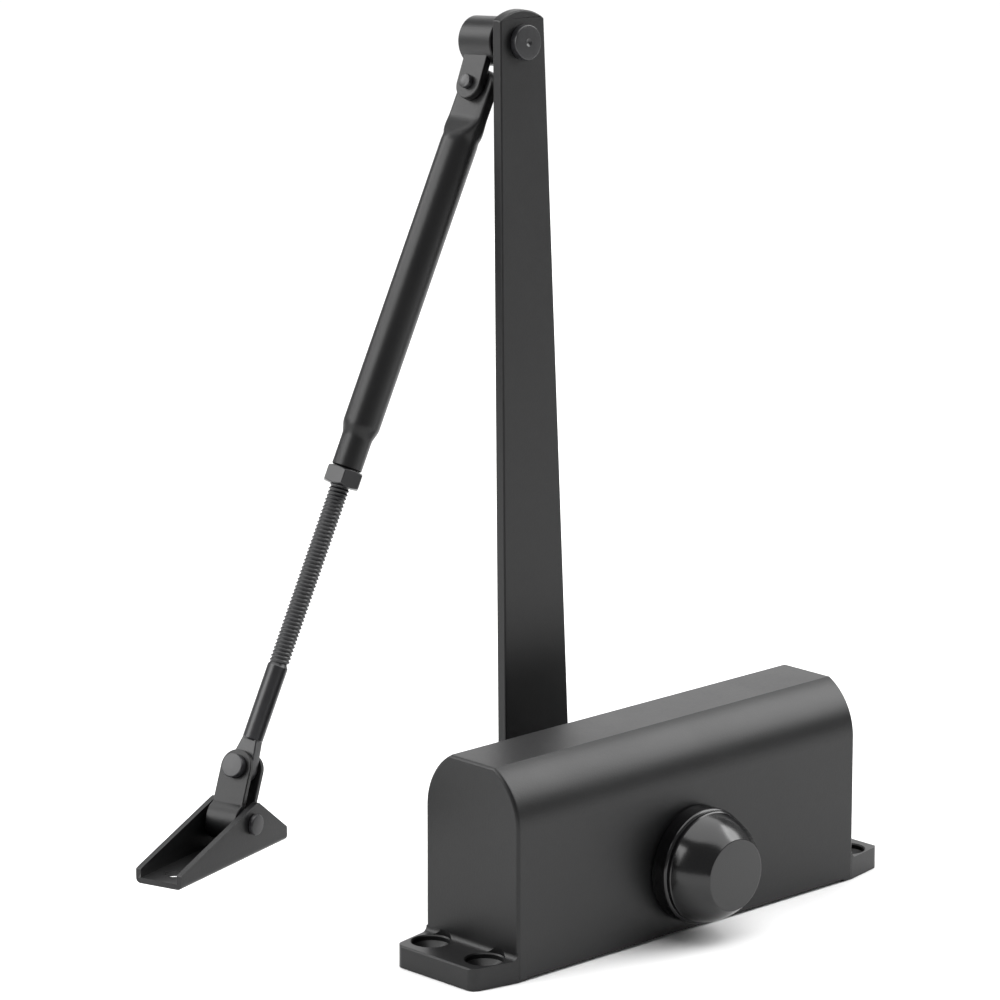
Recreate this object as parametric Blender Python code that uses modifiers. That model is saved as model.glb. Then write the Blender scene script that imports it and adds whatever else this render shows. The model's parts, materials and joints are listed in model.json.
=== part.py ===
"""Surface-mounted rack-and-pinion door closer with a regular two-piece arm.

Metres, +Z up and away from the door face, +X along the body, +Y out of the body
on the arm's side. The origin is the centre of the body's underside.
"""
import math

import bmesh
import bpy
from mathutils import Matrix, Vector

# Gap between touching pieces, and how far a cutting shape runs past what it cuts
GAP = 0.0003
OVERCUT = 0.002

# Body casting
BODY_LENGTH = 0.1488
BODY_WIDTH = 0.041
BODY_HEIGHT = 0.06555
TOP_FLAT_WIDTH = 0.0193
END_EDGE_RADIUS = 0.0012
UNDERSIDE_RELIEF = 0.0008
PAD_LENGTH = 0.046
PAD_WIDTH = 0.030
FOOT_THICKNESS = 0.007
FOOT_REACH = 0.0157
FOOT_TIP_WIDTH = 0.034
FOOT_CORNER = 0.003
FOOT_HOLE_RADIUS = 0.0033
FOOT_HOLE_HEAD_RADIUS = 0.0059
FOOT_HOLE_HEAD_DEPTH = 0.0030
FOOT_HOLE_PAST_BODY = 0.0059
FOOT_HOLE_SPACING_Y = 0.0238

# Cylinder, piston and spring
BORE_RADIUS = 0.016
BORE_TOP_WALL = 0.00755
BLIND_WALL = 0.0084
PLUG_SHOULDER = 0.001
PLUG_HEAD_LENGTH = 0.008
PLUG_NOSE_LENGTH = 0.008
PLUG_KEY_RADIUS = 0.0019
PLUG_KEY_SPACING = 0.018
PLUG_KEY_DEPTH = 0.005
SEAL_WIRE_RADIUS = 0.0010
PISTON_PAST_PINION = 0.009
PISTON_REST_GAP = 0.0004
PISTON_SPIGOT_CLEARANCE = 0.0016
PISTON_SPIGOT_LENGTH = 0.004
OIL_WAY_RADIUS = 0.0016
CHECK_BALL_RADIUS = 0.0025
CHECK_BORE_DEPTH = 0.012
RETAINER_LENGTH = 0.003
SPRING_WIRE_RADIUS = 0.0021
SPRING_TURNS = 5.5
SPRING_CLEARANCE = 0.0012

# Rack and pinion
PINION_X = 0.0007
RACK_DEPTH = 0.0034
GEAR_MODULE = 0.00125
PINION_TEETH = 12
PRESSURE_ANGLE = math.radians(20)
PINION_ADDENDUM = 1.0
RACK_ADDENDUM = 0.7
TOOTH_ROOT_GAP = 0.25
TOOTH_BACKLASH = 0.0005
PINION_FACE_WIDTH = 0.016
PINION_TURN = math.radians(170)
CHAMBER_CLEARANCE = 0.00155
JOURNAL_RADIUS = 0.006
SQUARE_SIDE = 0.0094
SCREW_HOLE_RADIUS = 0.0028
SCREW_HOLE_DEPTH = 0.014

# Bearings and glands
GLAND_RADIUS = 0.012
GLAND_DEPTH = 0.0062
GLAND_RIM_RADIUS = 0.0112
GLAND_RIM_HEIGHT = 0.003
GLAND_SLOT_WIDTH = 0.003
BUSH_WALL = 0.0017
BUSH_LENGTH = 0.0048
SHAFT_SEAL_LENGTH = 0.0018

# Speed valves
VALVE_RADIUS = 0.003
VALVE_LENGTH = 0.020
VALVE_TIP_LENGTH = 0.006
VALVE_OFFSET_Y = 0.0085
VALVE_HEIGHT = 0.0125
VALVE_SLOT_WIDTH = 0.0009
VALVE_SLOT_DEPTH = 0.0012
VALVE_SEAL_WIRE_RADIUS = 0.0006
VALVE_SINK = 0.0008
VALVE_GROOVE_FROM_FACE = 0.006
VALVE_GROOVE_WIDTH = 0.0018

# Pinion cover
COVER_RADIUS = 0.0184
COVER_RING_HEIGHT = 0.0060
COVER_STEP_HEIGHT = 0.0075
COVER_STEP_RADIUS = 0.0174
COVER_HEIGHT = 0.0185
COVER_FACE_RADIUS = 0.0111
COVER_WALL = 0.0014

# Main arm
ARM_SWING = math.radians(3.0)
ARM_LEAN = math.radians(4.93)
ARM_LENGTH = 0.24666
ARM_THICKNESS = 0.0038
ARM_STANDOFF = 0.0125
ARM_JOGGLE_DEPTH = 0.01502
ARM_HUB_WIDTH = 0.0281
ARM_TIP_WIDTH = 0.0192
ARM_TIP_RISE = 0.0101
ARM_TIP_SHOULDER = 0.0071
ARM_HUB_RADIUS = 0.0145
JOGGLE_START = 0.0125
JOGGLE_END = 0.0290
ARM_SCREW_HEAD_RADIUS = 0.0058
ARM_SCREW_HEAD_HEIGHT = 0.0042
ARM_WASHER_RADIUS = 0.0085
ARM_WASHER_THICKNESS = 0.0016

# Elbow
ELBOW_SHANK_RADIUS = 0.004
ELBOW_HEAD_RIM = 0.0016
ELBOW_HEAD_HEIGHT = 0.0024
ELBOW_WASHER_RIM = 0.0030
ELBOW_WASHER_THICKNESS = 0.0025
ELBOW_TAIL_RIM = 0.0010
ELBOW_TAIL_HEIGHT = 0.0010
KNUCKLE_RADIUS = 0.0079
KNUCKLE_LENGTH = 0.0154
KNUCKLE_CHAMFER = 0.0010
TONGUE_WIDTH = 0.0105
TONGUE_THICKNESS = 0.0026
TONGUE_FACE = 0.0048
TONGUE_CLEARANCE = 0.0013
KNUCKLE_RIVET_RADIUS = 0.0018
KNUCKLE_RIVET_HEAD_RIM = 0.0005
KNUCKLE_RIVET_HEAD_HEIGHT = 0.0015

# Forearm
TUBE_RADIUS = 0.00595
TUBE_WALL = 0.0014
TUBE_FLAT_THICKNESS = 0.0042
TUBE_FLAT_WIDTH = 0.0148
TUBE_EYE_RADIUS = 0.0075
TUBE_EYE_DROP = 0.0014
TUBE_FLAT_END = 0.0095
TUBE_ROUND_START = 0.0195
TUBE_NECK_RADIUS = 0.0049
TUBE_NECK_START = 0.0096
TUBE_NECK_END = 0.0146
NUT_HEIGHT = 0.0056
NUT_ACROSS_FLATS = 0.0112
NUT_FROM_EYE = 0.0936
ROD_RADIUS = 0.0033
ROD_INSIDE_TUBE = 0.045
ROD_EYE_RADIUS = 0.0045
ROD_EYE_THICKNESS = 0.0040
ROD_NECK_WIDTH = 0.0052
ROD_SHANK_START = 0.0093

# Yoke
YOKE_SIDE_CLEARANCE = 0.0011
YOKE_THICKNESS = 0.0019
YOKE_RISE = 0.0165
YOKE_RIVET_RADIUS = 0.0024
YOKE_RIVET_HEAD_RIM = 0.0014
YOKE_RIVET_HEAD_HEIGHT = 0.0022

# Frame bracket
BRACKET_TURN = math.radians(16.0)
BRACKET_CORNER = (-0.13402, 0.06585, 0.0224)
BRACKET_LENGTH = 0.060
BRACKET_WIDTH = 0.0168
BRACKET_THICKNESS = 0.0018
BRACKET_BEND = 0.0016
BRACKET_FRONT_HEIGHT = 0.0056
BRACKET_FRONT_FLAT = 0.0032
BRACKET_PEAK_HEIGHT = 0.0165
BRACKET_PEAK_AT = 0.0435
BRACKET_REAR_HEIGHT = 0.0045
BRACKET_HOLE_RADIUS = 0.0031
BRACKET_HOLES_AT = (0.0085, 0.0540)
BRACKET_PIN_AT = 0.0407
BRACKET_PIN_HEIGHT = 0.0104
BRACKET_PIN_RADIUS = 0.0042
BRACKET_PIN_END_RADIUS = 0.0022
BRACKET_PIN_HEAD_RIM = 0.0011
BRACKET_PIN_HEAD_HEIGHT = 0.0014

ROUND_STEPS = 28
SMALL_STEPS = 18
RING_SIDES = 6
MERGE = 0.00001

# Worked-out places
HALF_LENGTH = BODY_LENGTH / 2
HALF_WIDTH = BODY_WIDTH / 2
FOOT_HOLE_X = HALF_LENGTH + FOOT_HOLE_PAST_BODY
BORE_HEIGHT = BODY_HEIGHT - BORE_TOP_WALL - BORE_RADIUS
PLUG_RADIUS = BORE_RADIUS + PLUG_SHOULDER
PITCH_RADIUS = GEAR_MODULE * PINION_TEETH / 2
RACK_LINE = BORE_HEIGHT - BORE_RADIUS + RACK_DEPTH
PINION_HEIGHT = RACK_LINE - PITCH_RADIUS
CHAMBER_RADIUS = PITCH_RADIUS + PINION_ADDENDUM * GEAR_MODULE + CHAMBER_CLEARANCE
PISTON_TRAVEL = PINION_TURN * PITCH_RADIUS
PISTON_RADIUS = BORE_RADIUS - GAP
PLUG_NOSE_RADIUS = BORE_RADIUS - GAP
PLUG_FACE_X = HALF_LENGTH - GAP
PLUG_SHOULDER_X = PLUG_FACE_X - PLUG_HEAD_LENGTH
PLUG_NOSE_X = PLUG_SHOULDER_X - PLUG_NOSE_LENGTH
BORE_END_X = -HALF_LENGTH + BLIND_WALL
PISTON_RIGHT = PLUG_NOSE_X - PISTON_REST_GAP
PISTON_LEFT = PINION_X - PISTON_PAST_PINION
SPRING_COIL_RADIUS = BORE_RADIUS - SPRING_WIRE_RADIUS - SPRING_CLEARANCE
PISTON_SPIGOT_RADIUS = SPRING_COIL_RADIUS - SPRING_WIRE_RADIUS - PISTON_SPIGOT_CLEARANCE
GLAND_FLOOR = HALF_WIDTH - GLAND_DEPTH
ARM_HUB_FACE = HALF_WIDTH + ARM_STANDOFF
ARM_PLANE_AT_PINION = ARM_HUB_FACE + ARM_JOGGLE_DEPTH
JOURNAL_REACH = ARM_HUB_FACE - GAP
SQUARE_REACH = ARM_HUB_FACE + ARM_THICKNESS - GAP
ELBOW_HEAD_RADIUS = ELBOW_SHANK_RADIUS + ELBOW_HEAD_RIM
ELBOW_WASHER_RADIUS = ELBOW_SHANK_RADIUS + ELBOW_WASHER_RIM
ELBOW_TAIL_RADIUS = ELBOW_SHANK_RADIUS + ELBOW_TAIL_RIM
KNUCKLE_RIVET_HEAD_RADIUS = KNUCKLE_RIVET_RADIUS + KNUCKLE_RIVET_HEAD_RIM
TONGUE_REACH = KNUCKLE_RADIUS + TUBE_EYE_RADIUS - TUBE_EYE_DROP + TONGUE_CLEARANCE
YOKE_WIDTH = BRACKET_WIDTH - 2 * BRACKET_THICKNESS - 2 * YOKE_SIDE_CLEARANCE
YOKE_RIVET_HEAD_RADIUS = YOKE_RIVET_RADIUS + YOKE_RIVET_HEAD_RIM
BRACKET_PIN_HEAD_RADIUS = BRACKET_PIN_END_RADIUS + BRACKET_PIN_HEAD_RIM
PALETTE = {
    "black_coat": ((0.012, 0.012, 0.013), 0.45, 0.0),
    "black_plastic": ((0.008, 0.008, 0.009), 0.30, 0.0),
    "black_steel": ((0.016, 0.016, 0.018), 0.38, 0.6),
    "steel": ((0.42, 0.42, 0.44), 0.30, 1.0),
    "bronze": ((0.45, 0.30, 0.13), 0.35, 1.0),
    "spring_steel": ((0.22, 0.23, 0.26), 0.30, 1.0),
    "seal_rubber": ((0.014, 0.014, 0.014), 0.70, 0.0),
}


# ---------------------------------------------------------------- helpers
def clear_scene():
    for item in list(bpy.data.objects):
        bpy.data.objects.remove(item, do_unlink=True)


def make_collection(name):
    group = bpy.data.collections.new(name)
    bpy.context.scene.collection.children.link(group)
    return group


def make_material(slot):
    colour, roughness, metallic = PALETTE[slot]
    material = bpy.data.materials.new(slot)
    material.use_nodes = True
    shader = material.node_tree.nodes["Principled BSDF"]
    shader.inputs["Base Color"].default_value = (*colour, 1.0)
    shader.inputs["Roughness"].default_value = roughness
    shader.inputs["Metallic"].default_value = metallic
    return material


def add_object(name, mesh, frame, slot=None):
    item = bpy.data.objects.new(name, mesh)
    if slot is None:
        CUTTERS.objects.link(item)
        item.hide_render = True
        item.display_type = "WIRE"
        item.matrix_world = frame
        return item
    PARTS.objects.link(item)
    mesh.materials.clear()
    mesh.materials.append(make_material(slot))
    item.matrix_world = frame
    return item


def mesh_from_bmesh(name, bm):
    bmesh.ops.recalc_face_normals(bm, faces=bm.faces)
    mesh = bpy.data.meshes.new(name)
    bm.to_mesh(mesh)
    bm.free()
    return mesh


def evaluated_mesh(item):
    depsgraph = bpy.context.evaluated_depsgraph_get()
    depsgraph.update()
    mesh = bpy.data.meshes.new_from_object(item.evaluated_get(depsgraph))
    bm = bmesh.new()
    bm.from_mesh(mesh)
    bmesh.ops.remove_doubles(bm, verts=bm.verts, dist=MERGE)
    bmesh.ops.recalc_face_normals(bm, faces=bm.faces)
    bm.to_mesh(mesh)
    bm.free()
    return mesh


def box_mesh(name, low, high):
    bm = bmesh.new()
    bmesh.ops.create_cube(bm, size=1.0)
    size = [high[i] - low[i] for i in range(3)]
    middle = [(high[i] + low[i]) / 2 for i in range(3)]
    stretched = Matrix.Translation(middle) @ Matrix.Diagonal((*size, 1.0))
    bmesh.ops.transform(bm, matrix=stretched, verts=bm.verts)
    return mesh_from_bmesh(name, bm)


def rod_mesh(name, radius, low, high, steps=ROUND_STEPS):
    """A cylinder along Z from low to high."""
    bm = bmesh.new()
    bmesh.ops.create_cone(bm, cap_ends=True, segments=steps, radius1=radius, radius2=radius, depth=high - low)
    bmesh.ops.translate(bm, verts=bm.verts, vec=(0, 0, (high + low) / 2))
    return mesh_from_bmesh(name, bm)


def turned_mesh(name, profile, steps=ROUND_STEPS, closed=False):
    """Turn (radius, height) points about Z with a Screw modifier."""
    bm = bmesh.new()
    points = [bm.verts.new((radius, 0, height)) for radius, height in profile]
    for first, second in zip(points, points[1:]):
        bm.edges.new((first, second))
    if closed:
        bm.edges.new((points[-1], points[0]))
    mesh = bpy.data.meshes.new(name)
    bm.to_mesh(mesh)
    bm.free()
    item = add_object(name + "_profile", mesh, Matrix())
    screw = item.modifiers.new("turn", "SCREW")
    screw.axis = "Z"
    screw.steps = steps
    screw.render_steps = steps
    screw.use_merge_vertices = True
    screw.merge_threshold = MERGE
    turned = evaluated_mesh(item)
    bpy.data.objects.remove(item, do_unlink=True)
    turned.name = name
    return turned


def plate_mesh(name, outline, thickness):
    """A flat outline in XY, filled and given a thickness centred on Z = 0."""
    curve = bpy.data.curves.new(name, "CURVE")
    curve.dimensions = "2D"
    curve.fill_mode = "BOTH"
    curve.extrude = thickness / 2
    spline = curve.splines.new("POLY")
    spline.points.add(len(outline) - 1)
    for point, (x, y) in zip(spline.points, outline):
        point.co = (x, y, 0, 1)
    spline.use_cyclic_u = True
    item = bpy.data.objects.new(name, curve)
    CUTTERS.objects.link(item)
    mesh = evaluated_mesh(item)
    bpy.data.objects.remove(item, do_unlink=True)
    return mesh


def arc(centre, radius, start, end, steps):
    """Points on an arc in degrees, both ends included."""
    points = []
    for step in range(steps + 1):
        angle = math.radians(start + (end - start) * step / steps)
        points.append((centre[0] + radius * math.cos(angle), centre[1] + radius * math.sin(angle)))
    return points


def rounded_outline(corners, radius, steps=4):
    """Round every corner of a polygon with an arc tangent to both sides."""
    points = []
    count = len(corners)
    for index in range(count):
        corner = Vector(corners[index])
        before = (Vector(corners[index - 1]) - corner).normalized()
        after = (Vector(corners[(index + 1) % count]) - corner).normalized()
        half = before.angle(after) / 2
        reach = radius / math.tan(half)
        centre = corner + (before + after).normalized() * (radius / math.sin(half))
        first = corner + before * reach - centre
        last = corner + after * reach - centre
        turn = first.angle_signed(last)
        for step in range(steps + 1):
            angle = -turn * step / steps
            spoke = Matrix.Rotation(angle, 2) @ first
            points.append(tuple(centre + spoke))
    return points


def change(item, operation, tools):
    """Apply boolean tools in order; the tools are objects in the cutters' collection."""
    for tool in tools:
        cut = item.modifiers.new(tool.name, "BOOLEAN")
        cut.operation = operation
        cut.solver = "EXACT"
        cut.object = tool


def cutter(name, mesh, frame=None):
    return add_object("cut_" + name, mesh, frame if frame else Matrix())


def child_of(item, holder):
    bpy.context.view_layer.update()
    world = item.matrix_world.copy()
    item.parent = holder
    item.matrix_parent_inverse = holder.matrix_world.inverted()
    item.matrix_world = world


def empty(name, frame, holder=None):
    item = bpy.data.objects.new(name, None)
    item.empty_display_size = 0.01
    CUTTERS.objects.link(item)
    item.matrix_world = frame
    bpy.context.view_layer.update()
    if holder:
        child_of(item, holder)
    return item


def smooth(item, degrees=35):
    item.data.shade_smooth()
    item.data.set_sharp_from_angle(angle=math.radians(degrees))


def place(origin, x_axis, y_axis, z_axis):
    """A frame from its origin and its three directions."""
    frame = Matrix((x_axis, y_axis, z_axis)).transposed().to_4x4()
    frame.translation = origin
    return frame


TO_X = Matrix.Rotation(math.radians(90), 4, "Y")
TO_MINUS_X = Matrix.Rotation(math.radians(-90), 4, "Y")
TO_Y = Matrix.Rotation(math.radians(-90), 4, "X")
TO_MINUS_Y = Matrix.Rotation(math.radians(90), 4, "X")


def shift(x=0.0, y=0.0, z=0.0):
    return Matrix.Translation((x, y, z))


# ---------------------------------------------------------------- frames
def pinion_frame():
    return shift(PINION_X, 0, PINION_HEIGHT)


def arm_frame():
    """Z runs up the arm as seen along the pinion, Y along the pinion."""
    return pinion_frame() @ Matrix.Rotation(ARM_SWING, 4, "Y")


def elbow_frame():
    """Origin where the elbow pin meets the arm's inner face; Y along the pin, Z up the arm."""
    foot = shift(0, ARM_PLANE_AT_PINION, 0)
    return arm_frame() @ foot @ Matrix.Rotation(-ARM_LEAN, 4, "X") @ shift(0, 0, ARM_LENGTH)


KNUCKLE_START = ARM_THICKNESS + ELBOW_WASHER_THICKNESS + 2 * GAP
KNUCKLE_MIDDLE = KNUCKLE_START + KNUCKLE_LENGTH / 2
TUBE_OFFSET = TONGUE_FACE - TONGUE_THICKNESS - GAP - TUBE_FLAT_THICKNESS / 2


def bracket_frame():
    """Origin at the base's near front corner; X along the base, Y across it, Z up."""
    return Matrix.Translation(BRACKET_CORNER) @ Matrix.Rotation(BRACKET_TURN, 4, "Z")


def bracket_pin_frame():
    return bracket_frame() @ shift(BRACKET_PIN_AT, BRACKET_WIDTH / 2, BRACKET_PIN_HEIGHT)


def hang_linkage():
    """Turn the knuckle and the yoke until the forearm lies square to both rivets."""
    elbow = elbow_frame()
    pin = elbow.col[1].xyz
    middle = elbow @ Vector((0, KNUCKLE_MIDDLE, 0))
    bracket_pin = bracket_pin_frame()
    across = bracket_pin.col[1].xyz
    eye = bracket_pin.translation + bracket_pin.col[2].xyz * YOKE_RISE
    for _ in range(40):
        back = middle - eye
        back -= pin * back.dot(pin)
        turn = math.asin(-TUBE_OFFSET / back.length)
        back.normalize()
        side = back.cross(pin)
        outward = side * math.cos(turn) + back * math.sin(turn)
        down = side * math.sin(turn) - back * math.cos(turn)
        top = middle + down * TONGUE_REACH + outward * TUBE_OFFSET
        rise = top - bracket_pin.translation
        rise -= across * rise.dot(across)
        rise.normalize()
        eye = bracket_pin.translation + rise * YOKE_RISE
    knuckle = place(middle, -outward, pin, -down)
    yoke = place(bracket_pin.translation, across.cross(rise), across, rise)
    along = (top - eye).normalized()
    forearm = place(top, -outward, along.cross(-outward), along)
    rod = place(eye, yoke.col[0].xyz, along.cross(yoke.col[0].xyz), along)
    return knuckle, yoke, forearm, rod, (top - eye).length


# ---------------------------------------------------------------- body
def body_outline():
    """Half-round top, cut flat, on straight sides; X here is Y in the part."""
    half_flat = TOP_FLAT_WIDTH / 2
    round_centre = BODY_HEIGHT - math.sqrt(HALF_WIDTH ** 2 - half_flat ** 2)
    start = math.degrees(math.acos(half_flat / HALF_WIDTH))
    right = arc((0, round_centre), HALF_WIDTH, 0, start, 8)
    left = [(-y, z) for y, z in reversed(right)]
    return [(-HALF_WIDTH, UNDERSIDE_RELIEF), (HALF_WIDTH, UNDERSIDE_RELIEF)] + right + left


def rounded_body_mesh():
    """The body's section run end to end, its end edges rounded except along the underside."""
    bm = bmesh.new()
    bm.from_mesh(plate_mesh("housing", body_outline(), BODY_LENGTH))
    edges = []
    for edge in bm.edges:
        ends = [abs(abs(vert.co.z) - HALF_LENGTH) < MERGE for vert in edge.verts]
        across = abs(edge.verts[0].co.z - edge.verts[1].co.z) < MERGE
        low = all(vert.co.y < UNDERSIDE_RELIEF + MERGE for vert in edge.verts)
        outline = edge.is_boundary or edge.calc_face_angle(0) > 1.0
        if all(ends) and across and outline and not low:
            edges.append(edge)
    bmesh.ops.bevel(bm, geom=edges, offset=END_EDGE_RADIUS, segments=2, profile=0.5, affect="EDGES")
    return mesh_from_bmesh("housing", bm)


def foot_outline():
    reach = HALF_LENGTH + FOOT_REACH
    tip = FOOT_TIP_WIDTH / 2
    root = HALF_LENGTH - 0.004
    corner = FOOT_CORNER
    outer = rounded_outline([(root, -HALF_WIDTH), (reach, -tip), (reach, tip), (root, HALF_WIDTH)], corner)
    middle = len(outer) // 4
    rounded_tip = outer[middle:3 * middle]
    return [(root, -HALF_WIDTH + GAP)] + rounded_tip + [(root, HALF_WIDTH - GAP)]


def foot_hole_profile():
    taper = FOOT_HOLE_HEAD_RADIUS - FOOT_HOLE_RADIUS
    head_floor = FOOT_THICKNESS - FOOT_HOLE_HEAD_DEPTH
    return [
        (0, FOOT_THICKNESS + OVERCUT),
        (FOOT_HOLE_HEAD_RADIUS, FOOT_THICKNESS + OVERCUT),
        (FOOT_HOLE_HEAD_RADIUS, head_floor + taper * 0.5),
        (FOOT_HOLE_RADIUS, head_floor - taper * 0.3),
        (FOOT_HOLE_RADIUS, -OVERCUT),
        (0, -OVERCUT),
    ]


def valve_places():
    return {"sweep": VALVE_OFFSET_Y, "latch": -VALVE_OFFSET_Y}


def make_housing():
    frame = place((0, 0, 0), (0, 1, 0), (0, 0, 1), (1, 0, 0))
    housing = add_object("housing", rounded_body_mesh(), frame, "black_coat")
    feet = []
    for side in (1, -1):
        turned = Matrix.Rotation(0 if side > 0 else math.pi, 4, "Z")
        foot = plate_mesh("foot", foot_outline(), FOOT_THICKNESS)
        feet.append(cutter("foot", foot, turned @ shift(z=FOOT_THICKNESS / 2)))
    pad = box_mesh("pad", (-PAD_LENGTH / 2, -PAD_WIDTH / 2, 0), (PAD_LENGTH / 2, PAD_WIDTH / 2, 0.004))
    feet.append(cutter("pad", pad))
    change(housing, "UNION", feet)
    bore = rod_mesh("bore", BORE_RADIUS, BORE_END_X, HALF_LENGTH + OVERCUT)
    seat = rod_mesh("plug_seat", PLUG_RADIUS + GAP, PLUG_SHOULDER_X - GAP, HALF_LENGTH + OVERCUT)
    chamber = rod_mesh("chamber", CHAMBER_RADIUS, -HALF_WIDTH, HALF_WIDTH)
    cuts = [
        cutter("bore", bore, shift(z=BORE_HEIGHT) @ TO_X),
        cutter("plug_seat", seat, shift(z=BORE_HEIGHT) @ TO_X),
        cutter("chamber", chamber, pinion_frame() @ TO_Y),
    ]
    for side in (1, -1):
        seat = rod_mesh("gland_seat", GLAND_RADIUS + GAP, GLAND_FLOOR - GAP, HALF_WIDTH + OVERCUT)
        cuts.append(cutter("gland_seat", seat, pinion_frame() @ (TO_Y if side > 0 else TO_MINUS_Y)))
    for y in valve_places().values():
        low = HALF_LENGTH - VALVE_LENGTH - 0.003
        valve = rod_mesh("valve_bore", VALVE_RADIUS + GAP, low, HALF_LENGTH + OVERCUT, SMALL_STEPS)
        cuts.append(cutter("valve_bore", valve, shift(y=y, z=VALVE_HEIGHT) @ TO_X))
    for x in (-1, 1):
        for y in (-1, 1):
            hole = turned_mesh("foot_hole", foot_hole_profile(), SMALL_STEPS)
            spot = shift(x * FOOT_HOLE_X, y * FOOT_HOLE_SPACING_Y / 2)
            cuts.append(cutter("foot_hole", hole, spot))
    change(housing, "DIFFERENCE", cuts)
    return housing


def make_end_plug():
    groove_low = PLUG_NOSE_X + PLUG_NOSE_LENGTH / 2 - 0.0013
    groove_high = groove_low + 0.0026
    groove_radius = PLUG_NOSE_RADIUS - 2 * SEAL_WIRE_RADIUS - GAP
    profile = [
        (0, PLUG_FACE_X),
        (PLUG_RADIUS - 0.001, PLUG_FACE_X),
        (PLUG_RADIUS, PLUG_FACE_X - 0.001),
        (PLUG_RADIUS, PLUG_SHOULDER_X),
        (PLUG_NOSE_RADIUS, PLUG_SHOULDER_X),
        (PLUG_NOSE_RADIUS, groove_high),
        (groove_radius, groove_high),
        (groove_radius, groove_low),
        (PLUG_NOSE_RADIUS, groove_low),
        (PLUG_NOSE_RADIUS, PLUG_NOSE_X),
        (0, PLUG_NOSE_X),
    ]
    frame = shift(z=BORE_HEIGHT) @ TO_X
    plug = add_object("end_plug", turned_mesh("end_plug", profile), frame, "steel")
    keys = []
    for side in (1, -1):
        key = rod_mesh("key_hole", PLUG_KEY_RADIUS, PLUG_FACE_X - PLUG_KEY_DEPTH, PLUG_FACE_X + OVERCUT, 12)
        keys.append(cutter("key_hole", key, frame @ shift(y=side * PLUG_KEY_SPACING / 2)))
    change(plug, "DIFFERENCE", keys)
    ring_radius = groove_radius + GAP / 2 + SEAL_WIRE_RADIUS
    seal = ring_mesh("end_plug_seal", ring_radius, SEAL_WIRE_RADIUS, (groove_low + groove_high) / 2)
    add_object("end_plug_seal", seal, frame, "seal_rubber")


def ring_mesh(name, radius, wire_radius, height, steps=ROUND_STEPS):
    profile = []
    for step in range(RING_SIDES):
        angle = math.pi / 2 - 2 * math.pi * (step + 0.5) / RING_SIDES
        profile.append((radius + wire_radius * math.cos(angle), height + wire_radius * math.sin(angle)))
    return turned_mesh(name, profile, steps, closed=True)


def rack_outline():
    """Everything below the milled rack, in X and Z measured from the pinion's top point."""
    pitch = math.pi * GEAR_MODULE
    tip = -RACK_ADDENDUM * GEAR_MODULE
    root = (PINION_ADDENDUM + TOOTH_ROOT_GAP) * GEAR_MODULE
    slope = math.tan(PRESSURE_ANGLE)
    half_space = (pitch / 2 + TOOTH_BACKLASH) / 2
    left_spaces = math.ceil(0.010 / pitch)
    right_spaces = math.ceil((PISTON_TRAVEL + 0.008) / pitch)
    end = (right_spaces + 0.5) * pitch
    start = PISTON_LEFT - PINION_X - OVERCUT
    points = [(start, tip - 0.012), (end, tip - 0.012), (end, tip)]
    spaces = []
    for space in range(right_spaces, -left_spaces - 1, -1):
        centre = space * pitch
        if centre - half_space < start + 0.001:
            continue
        spaces.append((centre + half_space - slope * tip, tip))
        spaces.append((centre + half_space - slope * root, root))
        spaces.append((centre - half_space + slope * root, root))
        spaces.append((centre - half_space + slope * tip, tip))
    return points + spaces + [(start, tip)]


def make_piston():
    frame = shift(z=BORE_HEIGHT) @ TO_X
    profile = [
        (0, PISTON_RIGHT),
        (PISTON_RADIUS - 0.0008, PISTON_RIGHT),
        (PISTON_RADIUS, PISTON_RIGHT - 0.0008),
        (PISTON_RADIUS, PISTON_LEFT),
        (PISTON_SPIGOT_RADIUS, PISTON_LEFT),
        (PISTON_SPIGOT_RADIUS, PISTON_LEFT - PISTON_SPIGOT_LENGTH),
        (0, PISTON_LEFT - PISTON_SPIGOT_LENGTH),
    ]
    piston = add_object("piston", turned_mesh("piston", profile), frame, "steel")
    rack = plate_mesh("rack", rack_outline(), 2 * PISTON_RADIUS + 0.004)
    upright = place((PINION_X, 0, RACK_LINE), (1, 0, 0), (0, 0, 1), (0, -1, 0))
    ball_seat = PISTON_RIGHT - CHECK_BORE_DEPTH
    way_end = PISTON_LEFT - PISTON_SPIGOT_LENGTH - OVERCUT
    way = rod_mesh("oil_way", OIL_WAY_RADIUS, way_end, PISTON_RIGHT + OVERCUT, 12)
    pocket = rod_mesh("ball_pocket", CHECK_BALL_RADIUS + GAP, ball_seat, PISTON_RIGHT + OVERCUT, 16)
    cuts = [cutter("rack", rack, upright), cutter("oil_way", way, frame)]
    cuts.append(cutter("ball_pocket", pocket, frame))
    change(piston, "DIFFERENCE", cuts)
    ball_mesh = bmesh.new()
    bmesh.ops.create_uvsphere(ball_mesh, u_segments=14, v_segments=8, radius=CHECK_BALL_RADIUS)
    ball_x = ball_seat + CHECK_BALL_RADIUS + GAP
    spot = shift(ball_x, 0, BORE_HEIGHT)
    ball = add_object("check_ball", mesh_from_bmesh("check_ball", ball_mesh), spot, "steel")
    smooth(ball)
    outer = CHECK_BALL_RADIUS
    ring = [
        (OIL_WAY_RADIUS, PISTON_RIGHT - 0.0005),
        (outer, PISTON_RIGHT - 0.0005),
        (outer, PISTON_RIGHT - RETAINER_LENGTH),
        (OIL_WAY_RADIUS, PISTON_RIGHT - RETAINER_LENGTH),
    ]
    retainer = turned_mesh("check_retainer", ring, 16, closed=True)
    retainer = add_object("check_retainer", retainer, frame, "steel")
    return [piston, ball, retainer]


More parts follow.
